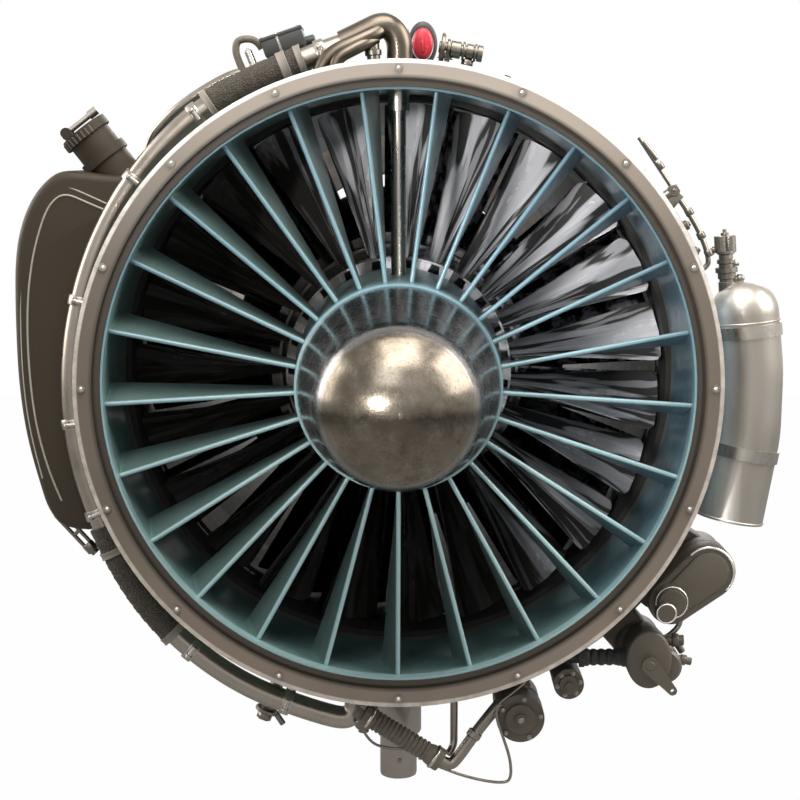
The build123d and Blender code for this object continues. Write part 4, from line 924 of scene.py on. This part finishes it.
def make_tank():
    """Oil tank hugging the case, with a rounded shoulder and foot and broad soft edges."""
    hollow, front, rear = 0.397, 0.135, 0.335
    inner = [at(clock, hollow, 0) for clock in range(240, 313, 6)]
    outer = smooth_line([inner[-1]] + [mm(x, 0, z) for x, z in TANK_OUTER] + [inner[0]], 5)
    corners = [(point.x, point.z) for point in inner + outer[1:-1]]
    body = outline_mesh("tank_body", corners, front, rear)
    soften(body, 0.014, 4, 50)
    smooth(body, 40)
    dress(body, "tank")
    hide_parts("oil_tank")
    # Pale beads on the face and along the crest: partly weld beads, partly a painted highlight along the
    # rounded edge
    on_face, near_shoulder, on_crest = 134.9, 135.2, 136.6
    face = pipe("tank_face_bead", [mm(x, on_face, z) for x, z in FACE_BEAD], 0.0014, 8)
    line = [mm(x, near_shoulder if i < 2 else on_crest, z) for i, (x, z) in enumerate(CREST_BEAD)]
    crest = pipe("tank_crest_bead", line, 0.0013, 8)
    dress(join([face, crest], "tank_beads"), "bead")


def make_tank_details():
    """Studs at the side of the tank, and the ribs of the filler cap."""
    studs = []
    station = 0.200
    for clock in (286.3, 284.9):
        foot, tip, nut = (at(clock, radius, station) for radius in (0.5030, 0.5228, 0.5150))
        studs.append(rod("tank_stud", foot, tip, 0.0020, 10))
        studs.append(stand(hexagon("tank_stud_nut", 0.0040, 0.003), nut, outward(clock)))
    dress(join(studs, "tank_side_studs"), "steel")

    clear_selection()
    bpy.ops.mesh.primitive_cube_add(size=1, location=(0, 0, 0))
    rib = bpy.context.object
    rib.scale = (0.0030, 0.0028, 0.0110)
    settle(rib)
    soften(rib, 0.0005, 1)
    base, shift, count = pose(CAP_FOOT, NECK_AXIS), Matrix.Translation((0.0320, 0, 0.0065)), 30
    places = [base @ Matrix.Rotation(radians(i * 360 / count), 4, "Z") @ shift for i in range(count)]
    dress(spread(rib, places, "filler_cap_ribs"), "casting", "filler_cap")


# Bottle


def make_bottle_details():
    """Weld seam below the shoulder and the rolled ring at the foot."""
    seam = bead("bottle_weld_seam", 0.0446, 0.0009, 1.6)
    stand(seam, (0.4541, 0.130, 0.0735), Vector((7, 0, -74)))
    ring = bead("bottle_foot_ring", 0.0434, 0.0024, 0.8)
    stand(ring, (0.4374, 0.130, -0.1858), Vector((-21, 0, -113)))
    dress(join([seam, ring], "bottle_seams"), "brushed")


# Nuts of the two round pumps at the lower right


def make_accessory_details():
    """Small nuts of the two pumps."""
    large, small = at(160.3, 0.478, 0.0870), at(150.9, 0.462, 0.0910)
    nuts = [stand(hexagon("pump_centre_nut", 0.0048, 0.0030, 0.001, 0.001), large, FORWARD)]
    nut = hexagon("pump_nut", 0.0028, 0.0026, 0.0012, 0.0006)
    turns = [pose(small + outward(i * 60 + 20) * 0.0150 + AFT * 0.0045, FORWARD) for i in range(6)]
    nuts.append(spread(nut, turns, "pump_nuts"))
    nut = hexagon("pump_rim_nut", 0.0026, 0.0022, 0.001, 0.0005)
    turns = [pose(large + outward(i * 72 + 10) * 0.0270 + AFT * 0.0045, FORWARD) for i in range(5)]
    nuts.append(spread(nut, turns, "pump_rim_nuts"))
    dress(join(nuts, "pump_fasteners"), "screw")


# Sides and rear


def duct_radius(station):
    """Outer radius of the bypass duct and the nozzle at a station."""
    if station < DUCT_REAR:
        return 0.3695 - (station - DUCT_FRONT) / (DUCT_REAR - DUCT_FRONT) * DUCT_TAPER
    return 0.3330 - (station - DUCT_REAR) / (NOZZLE_REAR - DUCT_REAR) * NOZZLE_TAPER


def make_duct_details():
    """Weld beads round the duct and nozzle, and access covers with their screws."""
    beads = []
    for station in (0.760, 1.010, 1.260, 1.620, 1.780):
        ring = bead("weld", duct_radius(station), 0.0016, 1.8, 120)
        beads.append(stand(ring, (0, station, 0), FORWARD))
    dress(join(beads[:3], "duct_weld_beads"), "case")
    dress(join(beads[3:], "nozzle_weld_beads"), "hot")

    covers, screws = [], []
    inset, turned_in, seat = 0.010, 1.4, 0.0018
    for clock, front, rear, half in ((62, 0.62, 0.73, 7), (298, 0.62, 0.73, 7), (120, 0.82, 0.95, 9),
                                     (240, 0.82, 0.95, 9), (35, 1.08, 1.18, 6), (325, 1.08, 1.18, 6)):
        low, high = duct_radius(front), duct_radius(rear)
        outline = [(low - 0.001, front), (low + 0.0022, front), (high + 0.0022, rear), (high - 0.001, rear)]
        cover = arc_piece("access_cover", outline, clock, half)
        soften(cover, 0.0008, 1)
        covers.append(cover)
        spots = [(side, station, radius) for side in (-1, -0.33, 0.33, 1)
                 for station, radius in ((front + inset, low), (rear - inset, high))]
        spots += [(side, (front + rear) / 2, (low + high) / 2) for side in (-1, 1)]
        for side, station, radius in spots:
            place = at(clock + side * (half - turned_in), radius + seat, station)
            screws.append(pose(place, outward(clock)))
    dress(join(covers, "access_covers"), "case")
    dress(spread(hexagon("cover_screw", 0.0034, 0.0026, 0, 0.0008), screws, "cover_screws"), "steel")


# Air manifold round the left half

# Clock angles and radii in millimetres along the manifold pipe
MANIFOLD = ((352, 437), (337, 432), (319, 434), (299, 432), (279, 429), (260, 433), (242, 438), (225, 452),
            (208, 459), (193, 459), (187.4, 459), (187.4, 418), (187.4, 374))
PIPE_STATION = 0.110


def clock_of(point):
    """Clock angle of a point."""
    return math.degrees(math.atan2(point.x, point.z)) % 360


def between_clocks(line, start, end):
    """The points of a line between two clock angles, the larger first."""
    return [point for point in line if end <= clock_of(point) <= start]


def place_on(line, clock):
    """Place and direction on a line at a clock angle."""
    i = min(range(1, len(line) - 1), key=lambda k: abs(clock_of(line[k]) - clock))
    return line[i], (line[i + 1] - line[i - 1]).normalized()


def make_manifold():
    """Manifold pipe with its woven sleeves, tape bands and clamps, and the elbow at its top."""
    line = smooth_line([at(clock, radius * MM, PIPE_STATION) for clock, radius in MANIFOLD], 40)
    main = pipe_on("air_manifold", line, 0.015, 20)
    dress(main, "pipe")
    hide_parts("manifold_pipe")

    sleeves = [pipe_on("sleeve", between_clocks(line, start, end), 0.0190, 24, 0.035)
               for start, end in ((343.2, 325), (243.5, 221))]
    woven = dress(join(sleeves, "woven_sleeves"), "sleeve")
    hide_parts("manifold_sleeves")

    tapes = []
    for clock, wide in ((343.0, 0.009), (340.0, 0.012), (325.5, 0.009), (238.6, 0.009), (221.5, 0.010)):
        centre, run = place_on(line, clock)
        low = -wide / 2
        outline = [(0.0185, low), (0.0208, low), (0.0212, low + 0.001), (0.0206, low + 0.0022),
                   (0.0206, -low - 0.0022), (0.0212, -low - 0.001), (0.0208, -low), (0.0185, -low)]
        tapes.append(stand(lathe("tape", outline, 24), centre, run))
    dress(join(tapes, "sleeve_tape_bands"), "tape")

    clamps = []
    for clock in (347.0, 322.6, 307, 284, 262, 246.0, 217, 199):
        centre, run = place_on(line, clock)
        outline = [(0.0145, -0.0065), (0.0172, -0.0065), (0.0178, -0.0050), (0.0178, 0.0050),
                   (0.0172, 0.0065), (0.0145, 0.0065)]
        clamps.append(stand(lathe("clamp", outline, 24), centre, run))
        away = outward(clock_of(centre))
        clamps.append(rod("clamp_post", centre - away * 0.014, away * 0.3735 + AFT * PIPE_STATION, 0.0050))
        ear = centre + FORWARD * 0.0185
        clamps.append(rod("clamp_ear", ear - away * 0.008, ear + away * 0.008, 0.0036, 10))
        screw = hexagon("clamp_screw", 0.0042, 0.004, 0.0015, 0.0006)
        clamps.append(stand(screw, ear + away * 0.0075, away))
    held = dress(join(clamps, "manifold_clamp_bands"), "clamp")
    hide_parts("manifold_clamps")

    corner = [(1.5, 374), (1.5, 405), (1.5, 441), (-17, 458), (-46, 444), (-72, 431.5)]
    elbow = pipe("elbow", [mm(x, 110, z) for x, z in corner], 0.0165, 24)
    outline = [(0, 0), (0.0235, 0), (0.0235, 0.006), (0.0185, 0.0095), (0.0185, 0.014), (0, 0.014)]
    foot = stand(lathe("elbow_foot", outline, 24), mm(1.5, 110, 385), UP)
    branch = pipe("branch", [mm(-22, 106, 449), mm(-34, 90, 440), mm(-106, 90, 411),
                             at(344, SKIN, 0.090)], 0.0105)
    second = pipe("second_branch", [mm(-30, 100, 437), mm(-44, 84, 430), mm(-92, 82, 405),
                                    at(349.5, SKIN, 0.082)], 0.0085)
    knuckle = [rod(name, at(355.6, low, 0.100), at(355.6, high, 0.100), radius, sides, edge)
               for name, low, high, radius, sides, edge in (("knuckle", SKIN, 0.436, 0.0085, 20, 0.15),
                                                            ("knuckle_nut", 0.398, 0.412, 0.0120, 6, 0.08),
                                                            ("knuckle_nut", 0.417, 0.425, 0.0108, 20, 0.1))]
    dress(join(knuckle, "elbow_knuckle"), "fitting")
    top = dress(join([elbow, foot, branch, second], "elbow_and_branch"), "elbow")
    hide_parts("top_elbow")


# Top: connector, unions, box with its lead, and the plug


def make_top_pieces():
    """Connector beside the plug, small unions round the case, and the black box with its lead."""
    parts = [rod("connector_core", mm(52, 118, 428), mm(106, 118, 419), 0.0078, 20)]
    fall = 0.165
    for start, end, radius in ((54, 59, 0.0190), (62, 66, 0.0125), (67, 80, 0.0112), (82, 85, 0.0122),
                               (87, 96, 0.0104), (97, 100, 0.0118), (101, 108, 0.0108)):
        foot, tip = (mm(x, 118, 428 - (x - 52) * fall) for x in (start, end))
        parts.append(rod("connector_ring", foot, tip, radius, 24, 0.06))
    for clock, radius, station, size in ((8.2, 0.434, 0.118, 0.0062), (12.2, 0.428, 0.118, 0.0055),
                                         (19.8, 0.420, 0.118, 0.0060), (355.6, 0.428, 0.122, 0.0060),
                                         (62, 0.434, 0.130, 0.0048), (66.8, 0.431, 0.126, 0.0042),
                                         (186, 0.430, 0.090, 0.0052)):
        foot, tip = at(clock, SKIN, station), at(clock, radius - 0.008, station)
        parts.append(rod("union_stub", foot, tip, size, 14))
        nut = hexagon("union_nut", size * 1.45, 0.0100, 0.003, 0.0012)
        parts.append(stand(nut, at(clock, radius - 0.012, station), outward(clock)))
    clock, station = 201.4, 0.152
    parts.append(rod("large_union_stub", at(clock, SKIN, station), at(clock, 0.492, station), 0.0090, 20))
    for low, high, radius, sides in ((0.462, 0.467, 0.0150, 24), (0.470, 0.482, 0.0138, 6),
                                     (0.484, 0.490, 0.0155, 24), (0.491, 0.500, 0.0105, 6)):
        foot, tip = at(clock, low, station), at(clock, high, station)
        parts.append(rod("large_union_ring", foot, tip, radius, sides, 0.08))
    parts.append(rod("large_union_side", at(200.0, 0.486, station), at(198.2, 0.498, station), 0.0042, 12))
    unions = dress(join(parts, "connector_and_unions"), "fitting")
    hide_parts("pipe_unions")

    lean = 341.1
    centre, away = at(lean, 0.459, 0.165), outward(lean)
    case = box("box_body", (0.056, 0.062, 0.024), centre, lean, 0.003)
    lid = box("box_lid", (0.058, 0.064, 0.005), centre + away * 0.0120, lean, 0.0014)
    feet = [rod("box_foot", at(clock, SKIN, station), at(clock, 0.455, station), 0.004, 10)
            for clock in (338.5, 343.7) for station in (0.145, 0.185)]
    plugs = [rod("box_socket", centre + Vector((0.026, along, 0.002)),
                 centre + Vector((0.040, along, 0.006)), 0.0062, 16) for along in (-0.012, 0.010)]
    screws = [pose(centre + away * 0.0142 + Vector((side * 0.0235, along, side * 0.0080)), away)
              for side in (-1, 1) for along in (-0.027, 0.027)]
    dark = dress(join([case, lid, *feet, *plugs], "black_box"), "black")
    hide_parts("ignition_box")
    dress(spread(hexagon("box_screw", 0.0030, 0.0020, 0, 0.0006), screws, "box_screws"), "steel")
    clip = box("box_clip", (0.0035, 0.0635, 0.0265), centre - Vector((0.006, 0, 0.0005)), lean, 0.0008)
    dress(clip, "steel")

    arch = pipe("box_lead", [mm(-178, 160, 428), mm(-184, 158, 438), mm(-199, 156, 441),
                             mm(-213, 156, 436), mm(-210, 156, 410), at(333, SKIN, 0.156)], 0.0048, 14)
    loop = dress(arch, "rubber")
    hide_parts("ignition_lead")
    post = rod("bright_capsule", at(334.6, SKIN, 0.146), mm(-197, 146, 428), 0.0050, 20, 0.9)
    dress(post, "rim")


def oval(piece, half_width, half_height, place):
    """Stretch a unit round piece along Y into an oval and stand it at its place."""
    piece.scale = (half_width, 1, half_height)
    settle(piece)
    piece.location = place
    settle(piece)
    return piece


def make_plug():
    """Red plug with a grip bar in an oval dark ring; the plug slides out with its body."""
    place = mm(31.5, 0, 433.5)
    outline = [(0, 0.1375), (0.72, 0.1375), (0.90, 0.1395), (1.0, 0.1440), (1.0, 0.1680), (0, 0.1680)]
    plug = oval(stand(lathe("plug", outline, 40), (0, 0, 0), AFT), 0.0135, 0.0205, place)
    bar = box("plug_bar", (0.0030, 0.0040, 0.0220), place + AFT * 0.1365, 0, 0.0008)
    red = dress(join([plug, bar], "oval_red_plug"), "red", "red_plug")
    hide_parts("red_plug")
    outer = [(1.0, 0.150), (1.26, 0.150), (1.34, 0.153), (1.34, 0.172), (1.0, 0.172), (1.0, 0.150)]
    ring = lathe("ring", [(radius * 1.02, station) for radius, station in outer], 40)
    ring = oval(stand(ring, (0, 0, 0), AFT), 0.0140, 0.0212, place)
    post = rod("ring_post", at(4.4, 0.372, 0.161), at(4.4, 0.412, 0.161), 0.0090, 20)
    dark = dress(join([ring, post], "oval_plug_ring"), "black")
    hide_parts("plug_ring")


# Upper right: rod with its eye and bracket, and the sensing tube; below: polished tube, riser, loop


def make_small_pipes():
    """Thin tubes and rods."""
    eye = at(55.4, 0.431, PIPE_STATION)
    parts = [rod("control_rod", eye, mm(309, 110, 312.5), 0.0026, 12),
             rod("rod_sleeve", mm(333, 110, 284), mm(314, 110, 307), 0.0040, 12),
             rod("rod_collar", mm(340, 110, 272), mm(334, 110, 281), 0.0050, 6),
             rod("eye_post", at(55.4, SKIN, PIPE_STATION), eye, 0.0062, 16),
             rod("eye_disc", eye + FORWARD * 0.006, eye + AFT * 0.006, 0.0080, 24),
             stand(hexagon("eye_nut", 0.0046, 0.003, 0.001, 0.001), eye + FORWARD * 0.006, FORWARD),
             box("rod_bracket", (0.016, 0.014, 0.030), at(56.8, 0.421, 0.114), 40, 0.0015),
             box("bracket_foot", (0.022, 0.018, 0.006), at(58.4, 0.414, 0.114), 52, 0.0012),
             pipe("sensing_tube", [at(clock, radius, PIPE_STATION) for clock, radius in (
                 (57.4, 0.431), (62, 0.434), (68, 0.433), (70.5, 0.425), (71, SKIN))], 0.0034),
             pipe("second_tube", [at(clock, radius, 0.128) for clock, radius in (
                 (53, SKIN), (54.5, 0.417), (62, 0.421), (70, 0.421), (73, SKIN))], 0.0026)]
    for clock in (60, 64.5, 67.8):
        nut = hexagon("tube_nut", 0.0058, 0.009)
        parts.append(stand(nut, at(clock, 0.4335, PIPE_STATION), outward(clock + 90)))
    end = mm(56, 90, -505)
    run = (end - mm(-46, 90, -441)).normalized()
    parts += [pipe("polished_tube", [end - run * 0.002, end + run * 0.012, mm(76, 92, -506),
                                     mm(104, 97, -466), mm(134, 100, -430)], 0.0078, 20),
              rod("tube_collar", mm(97, 96, -476), mm(103, 97, -467), 0.0098, 20),
              pipe("riser", [mm(73.7, 110, -374), mm(73.7, 110, -470), mm(73.7, 108, -492),
                             mm(66, 100, -499)], 0.0050),
              rod("riser_nut", mm(73.7, 110, -396), mm(73.7, 110, -408), 0.0072, 6),
              pipe("wire_loop", [mm(46, 96, -512), mm(72, 99, -524), mm(104, 104, -535),
                                 mm(134, 107, -541), mm(150, 107, -538), mm(149, 104, -508),
                                 mm(137, 86, -470), mm(127, 82, -440), mm(132, 82, -424),
                                 mm(150, 84, -412), mm(176, 96, -392), mm(184, 110, -330)],
                  0.0020, 8),
              pipe("bridge_tube", [mm(350, 112, -346), mm(362, 112, -340), mm(375, 112, -322),
                                   mm(366, 112, -300), mm(358, 112, -288)], 0.0038)]
    tubes = dress(join(parts, "thin_tubes_and_rods"), "thin")
    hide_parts("small_pipes")


# Hoses and filter below


def ribbed_hose(start, end, radius, pitch, depth, ferrule):
    """Ribbed hose between two points, with a stepped ferrule at each end."""
    run = end - start
    length = run.length
    outline = [(0, 0), (radius + 0.0015, 0), (radius + 0.0020, 0.001), (radius + 0.0020, ferrule * 0.6),
               (radius + 0.0006, ferrule * 0.65), (radius + 0.0006, ferrule)]
    height = ferrule + pitch * 0.3
    while height < length - ferrule - pitch:
        outline += [(radius - depth, height), (radius, height + pitch * 0.25), (radius, height + pitch * 0.6),
                    (radius - depth, height + pitch * 0.85)]
        height += pitch
    outline += [(radius + 0.0006, length - ferrule), (radius + 0.0006, length - ferrule * 0.65),
                (radius + 0.0020, length - ferrule * 0.6), (radius + 0.0020, length - 0.001),
                (radius + 0.0015, length), (0, length)]
    return stand(lathe("hose", outline, 28, 25), start, run)


def make_hoses():
    """Brown braided hose at the bottom, black hose at the lower right, each ending in its tube."""
    start, end = mm(-46, 90, -441), mm(56, 90, -505)
    lower = ribbed_hose(start, end, 0.0138, 0.0062, 0.0016, 0.016)
    nipple = rod("hose_nipple", mm(-56, 92, -434.7), mm(-44, 90, -442.2), 0.0112, 20)
    block = [rod("hose_block", mm(-46, 92, -427), mm(-46, 92, -462), 0.0105, 20),
             rod("hose_block_nut", mm(-46, 92, -450), mm(-46, 92, -459), 0.0130, 6, 0.08),
             rod("hose_block_end", mm(-46, 92, -461), mm(-46, 92, -467), 0.0072, 14),
             pipe("thin_tube", [mm(-46, 88, -464), mm(-38, 86, -480), mm(-12, 86, -488),
                                mm(14, 86, -488), mm(34, 88, -498)], 0.0019, 8)]
    dress(join(block, "hose_block"), "fitting")
    side = ribbed_hose(mm(238, 108, -370), mm(302, 102, -368), 0.0112, 0.0105, 0.0014, 0.012)
    inner = pipe("hose_tail", [mm(240, 108, -370), mm(222, 110, -370), mm(206, 112, -360),
                               at(149.5, SKIN, 0.114)], 0.0082, 20)
    hoses = dress(join([lower, nipple, side, inner], "ribbed_hoses"), "rubber")
    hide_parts("corrugated_hoses")
    bands = [stand(bead("hose_band", 0.0158, 0.0012, 1.6, 28), start + (end - start) * share, end - start)
             for share in (0.085, 0.915)]
    dress(join(bands, "hose_bands"), "steel")


def make_filter():
    """Filter head and bowl under the gearbox, with a rolled foot and a small drain screw."""
    outline = [(0, 0.0), (0.0295, 0.0), (0.0310, 0.0015), (0.0310, 0.0440), (0.0295, 0.0470),
               (0.0262, 0.0480), (0.0262, 0.0510), (0.0250, 0.0525), (0.0250, 0.1035), (0.0240, 0.1068),
               (0.0215, 0.1082), (0, 0.1082)]
    bowl = stand(lathe("bowl", outline, 48), (0, 0.185, -0.4445), -UP)
    whole = dress(bowl, "bowl")
    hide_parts("oil_filter")
    screw = stand(hexagon("bowl_screw", 0.0034, 0.0028, 0.0, 0.0006), (0.0015, 0.1602, -0.5262), FORWARD)
    dress(screw, "fitting")


def make_gearbox():
    """Curved gearbox band with a lobe behind each accessory, a joint rib and its bolts."""
    middle = 151.5
    outline = [(0.412, 0.142), (0.446, 0.142), (0.446, 0.220), (0.412, 0.220)]
    body = arc_piece("gearbox_body", outline, middle, 32.3, 48)
    soften(body, 0.006, 3)
    outline = [(0.430, 0.176), (0.451, 0.176), (0.451, 0.184), (0.430, 0.184)]
    rib = arc_piece("gearbox_rib", outline, middle, 31.6, 48)
    soften(rib, 0.0015, 2)
    pieces = [body, rib]
    for clock, circle, radius in ((121.8, 0.475, 0.034), (130.0, 0.448, 0.025), (138.5, 0.486, 0.033),
                                  (160.3, 0.474, 0.031), (150.9, 0.461, 0.0195)):
        front, rear = at(clock, circle, 0.1405), at(clock, circle, 0.200)
        pieces.append(rod("gearbox_lobe", front, rear, radius, 40, 0.12))
        size, centre = (radius * 1.7, 0.050, circle - 0.418), at(clock, (circle + 0.430) / 2, 0.172)
        pieces.append(box("gearbox_web", size, centre, clock, 0.006))
    whole = dress(join(pieces, "gearbox_casting"), "casting")
    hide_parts("gearbox")
    places = [pose(at(clock, 0.4505, 0.1860), AFT) for clock in range(124, 182, 6)]
    dress(spread(hexagon("gearbox_nut", 0.0036, 0.0032, 0.001, 0.0006), places, "gearbox_nuts"), "steel")


def pear_outline(large, large_radius, small, small_radius, steps=18):
    """Corners of the outline round two circles and the straight lines that touch both."""
    run = Vector((small.x - large.x, 0, small.z - large.z))
    heading = math.atan2(run.z, run.x)
    lean = math.acos((large_radius - small_radius) / run.length)
    corners = []
    arcs = ((large, large_radius, heading + lean, heading + 2 * pi - lean),
            (small, small_radius, heading - lean, heading + lean))
    for centre, radius, first, last in arcs:
        for i in range(steps + 1):
            turn = first + (last - first) * i / steps
            corners.append((centre.x + radius * cos(turn), centre.z + radius * sin(turn)))
    return corners


def make_starter():
    """Pear-shaped starter housing with bright rims, and the stepped boss in front of it."""
    starter, small = at(121.8, 0.475, 0), Vector((0.3560, 0, -0.2900))
    plate = outline_mesh("starter_plate", pear_outline(starter, 0.0360, small, 0.0300), 0.0790, 0.1180)
    soften(plate, 0.0040, 3, 40)
    back = outline_mesh("starter_back", pear_outline(starter, 0.0358, small, 0.0240), 0.1170, 0.1410)
    raised = outline_mesh("starter_face", pear_outline(starter, 0.0270, small, 0.0200), 0.0755, 0.0850)
    soften(raised, 0.0025, 2, 40)
    boss = Vector((0.3555, 0, -0.2885))
    steps = [(0, 0.0660), (0.0170, 0.0660), (0.0178, 0.0680), (0.0178, 0.0705), (0.0215, 0.0710),
             (0.0225, 0.0730), (0.0225, 0.0760), (0.0245, 0.0770), (0.0252, 0.0800), (0.0252, 0.0900),
             (0, 0.0900)]
    cap = Vector((0.3465, 0, -0.2990))
    nose = [(0, 0.0520), (0.0112, 0.0520), (0.0132, 0.0545), (0.0138, 0.0720), (0, 0.0720)]
    pieces = [smooth(plate, 40), smooth(back, 40), smooth(raised, 40),
              stand(lathe("boss_case", steps, 40), boss, AFT), stand(lathe("boss_cap", nose, 32), cap, AFT)]
    whole = dress(join(pieces, "starter_housing"), "casting")
    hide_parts("starter")

    outline = pear_outline(starter, 0.0330, small, 0.0270)
    edge = [Vector((x, 0.0788, z)) for x, z in outline]
    rims = [pipe_on("starter_rim", edge[1:19], 0.0019, 8),
            stand(bead("boss_rim", 0.0205, 0.0011, 0.8), Vector((boss.x, 0.0712, boss.z)), FORWARD),
            stand(bead("boss_cap_rim", 0.0121, 0.0014, 0.8), Vector((cap.x, 0.0532, cap.z)), FORWARD)]
    dress(join(rims, "accessory_rims"), "rim")


def make_fuel_pump():
    """Leaning oval pump body with a raised edge, a cap for the throttle spindle and side fittings."""
    centre = Vector((0.3275, 0, -0.3655))
    half = [(0, 0.0740), (0.90, 0.0740), (0.97, 0.0752), (1.0, 0.0785), (1.0, 0.1060), (0.93, 0.1100),
            (0.93, 0.1410), (0, 0.1410)]
    body = oval(stand(lathe("pump_body", half, 56), (0, 0, 0), AFT), 0.0300, 0.0390, (0, 0, 0))
    body.rotation_euler = (0, radians(14), 0)
    settle(body)
    body.location = centre
    settle(body)
    lower = rod("pump_lower", mm(350, 88, -378), mm(350, 141, -378), 0.0230, 40, 0.16)
    spindle = rod("pump_spindle", at(138.5, 0.494, 0.0580), at(138.5, 0.494, 0.0760), 0.0060, 20, 0.12)
    side = [rod("pump_port", mm(345, 104, -346), mm(376, 104, -346), 0.0072, 20, 0.1),
            rod("pump_port_nut", mm(360, 104, -346), mm(369, 104, -346), 0.0094, 6, 0.1),
            rod("pump_port", mm(352, 100, -366), mm(386, 100, -374), 0.0052, 16, 0.1),
            rod("pump_port_nut", mm(371, 100, -370.5), mm(379, 100, -372.4), 0.0074, 6, 0.1),
            rod("pump_port", mm(368, 112, -352), mm(376, 112, -364), 0.0046, 12, 0.1)]
    whole = dress(join([body, lower, spindle, *side], "pump_body"), "casting")
    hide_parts("fuel_pump")


# Valve on the bottle, and the drain of the tank


def make_bottle_valve():
    """Valve body with rings, a two-lobed head, its tip, and two side ports."""
    foot = mm(431, 130, 100)
    run = Vector((-sin(radians(4)), 0, cos(radians(4))))
    side = Vector((cos(radians(4)), 0, sin(radians(4))))
    outline = [(0, 0.0), (0.0115, 0.0), (0.0115, 0.0250), (0.0100, 0.0265), (0.0100, 0.0290),
               (0.0118, 0.0300), (0.0118, 0.0370), (0.0145, 0.0380), (0.0145, 0.0445), (0.0098, 0.0455),
               (0.0098, 0.0490), (0.0120, 0.0500), (0.0120, 0.0545), (0.0092, 0.0560), (0.0092, 0.0610),
               (0.0118, 0.0625), (0.0118, 0.0660), (0, 0.0660)]
    pieces = [stand(lathe("valve_body", outline, 32), foot, run)]

    # bars by their height and shift to the side at each end, radius, sides and broken edge
    for name, low, low_shift, high, high_shift, radius, sides, edge in (
        ("valve_head", 0.0640, -0.0056, 0.0860, -0.0056, 0.0086, 24, 0.12),
        ("valve_head", 0.0640, 0.0056, 0.0860, 0.0056, 0.0086, 24, 0.12),
        ("valve_tip", 0.085, 0, 0.0900, 0, 0.0052, 16, 0.15),
        ("valve_stem", 0.0890, 0, 0.0945, 0, 0.0026, 12, 0.15),
        ("left_port", 0.068, 0, 0.068, -0.0190, 0.0034, 12, 0.15),
        ("left_nut", 0.068, -0.0140, 0.068, -0.0175, 0.0052, 6, 0.15),
        ("right_port", 0.028, 0, 0.028, 0.0225, 0.0042, 12, 0.15),
        ("right_nut", 0.028, 0.0130, 0.028, 0.0210, 0.0072, 6, 0.15),
        ("spare_port", 0.048, 0, 0.048, 0.0165, 0.0026, 10, 0.15),
    ):
        start, end = foot + run * low + side * low_shift, foot + run * high + side * high_shift
        pieces.append(rod(name, start, end, radius, sides, edge))
    valve = dress(join(pieces, "bottle_valve_body"), "valve")
    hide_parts("bottle_valve")


def make_vent():
    """Thin pipe beside the manifold at the top left, from the case to the case."""
    line = [at(*place) for place in (
        (338, SKIN, 0.150), (337.5, 0.425, 0.151), (333, 0.449, 0.158), (327, 0.453, 0.164),
        (320, 0.456, 0.172), (313.5, 0.453, 0.186), (309.5, 0.432, 0.205), (308.5, 0.390, 0.218))]
    vent = dress(pipe("vent_line", line, 0.0066, 16), "pipe")
    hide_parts("vent_pipe")


def make_tank_drain():
    """Two thin drain tubes that meet in a nut below the tank."""
    run = Vector((0.674, 0, -0.738))
    across = Vector((0.738, 0, 0.674))
    top = mm(-452, 165, -191)
    pieces = [rod("drain_tube", start - run * 0.006, start + run * 0.058, 0.0028, 12)
              for start in (top - across * 0.005, top + across * 0.005)]
    bridge = top + run * 0.030
    pieces += [rod("drain_nut", top + run * 0.050, top + run * 0.064, 0.0090, 6),
               rod("drain_tip", top + run * 0.063, top + run * 0.068, 0.0058, 14),
               rod("drain_bridge", bridge - across * 0.007, bridge + across * 0.007, 0.0030, 10)]
    drain = dress(join(pieces, "tank_drain_tubes"), "fitting")
    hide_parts("tank_drain")


set_up_studio()
finish_nodes()
make_fan_blades()
make_screw_centres()
make_manifold()
make_top_pieces()
make_small_pipes()
make_hoses()
make_filter()
make_gearbox()
make_starter()
make_fuel_pump()
make_plug()
make_bottle_valve()
make_tank()
make_tank_drain()
make_vent()
make_case_bolts()
make_tank_details()
make_bottle_details()
make_accessory_details()
make_duct_details()
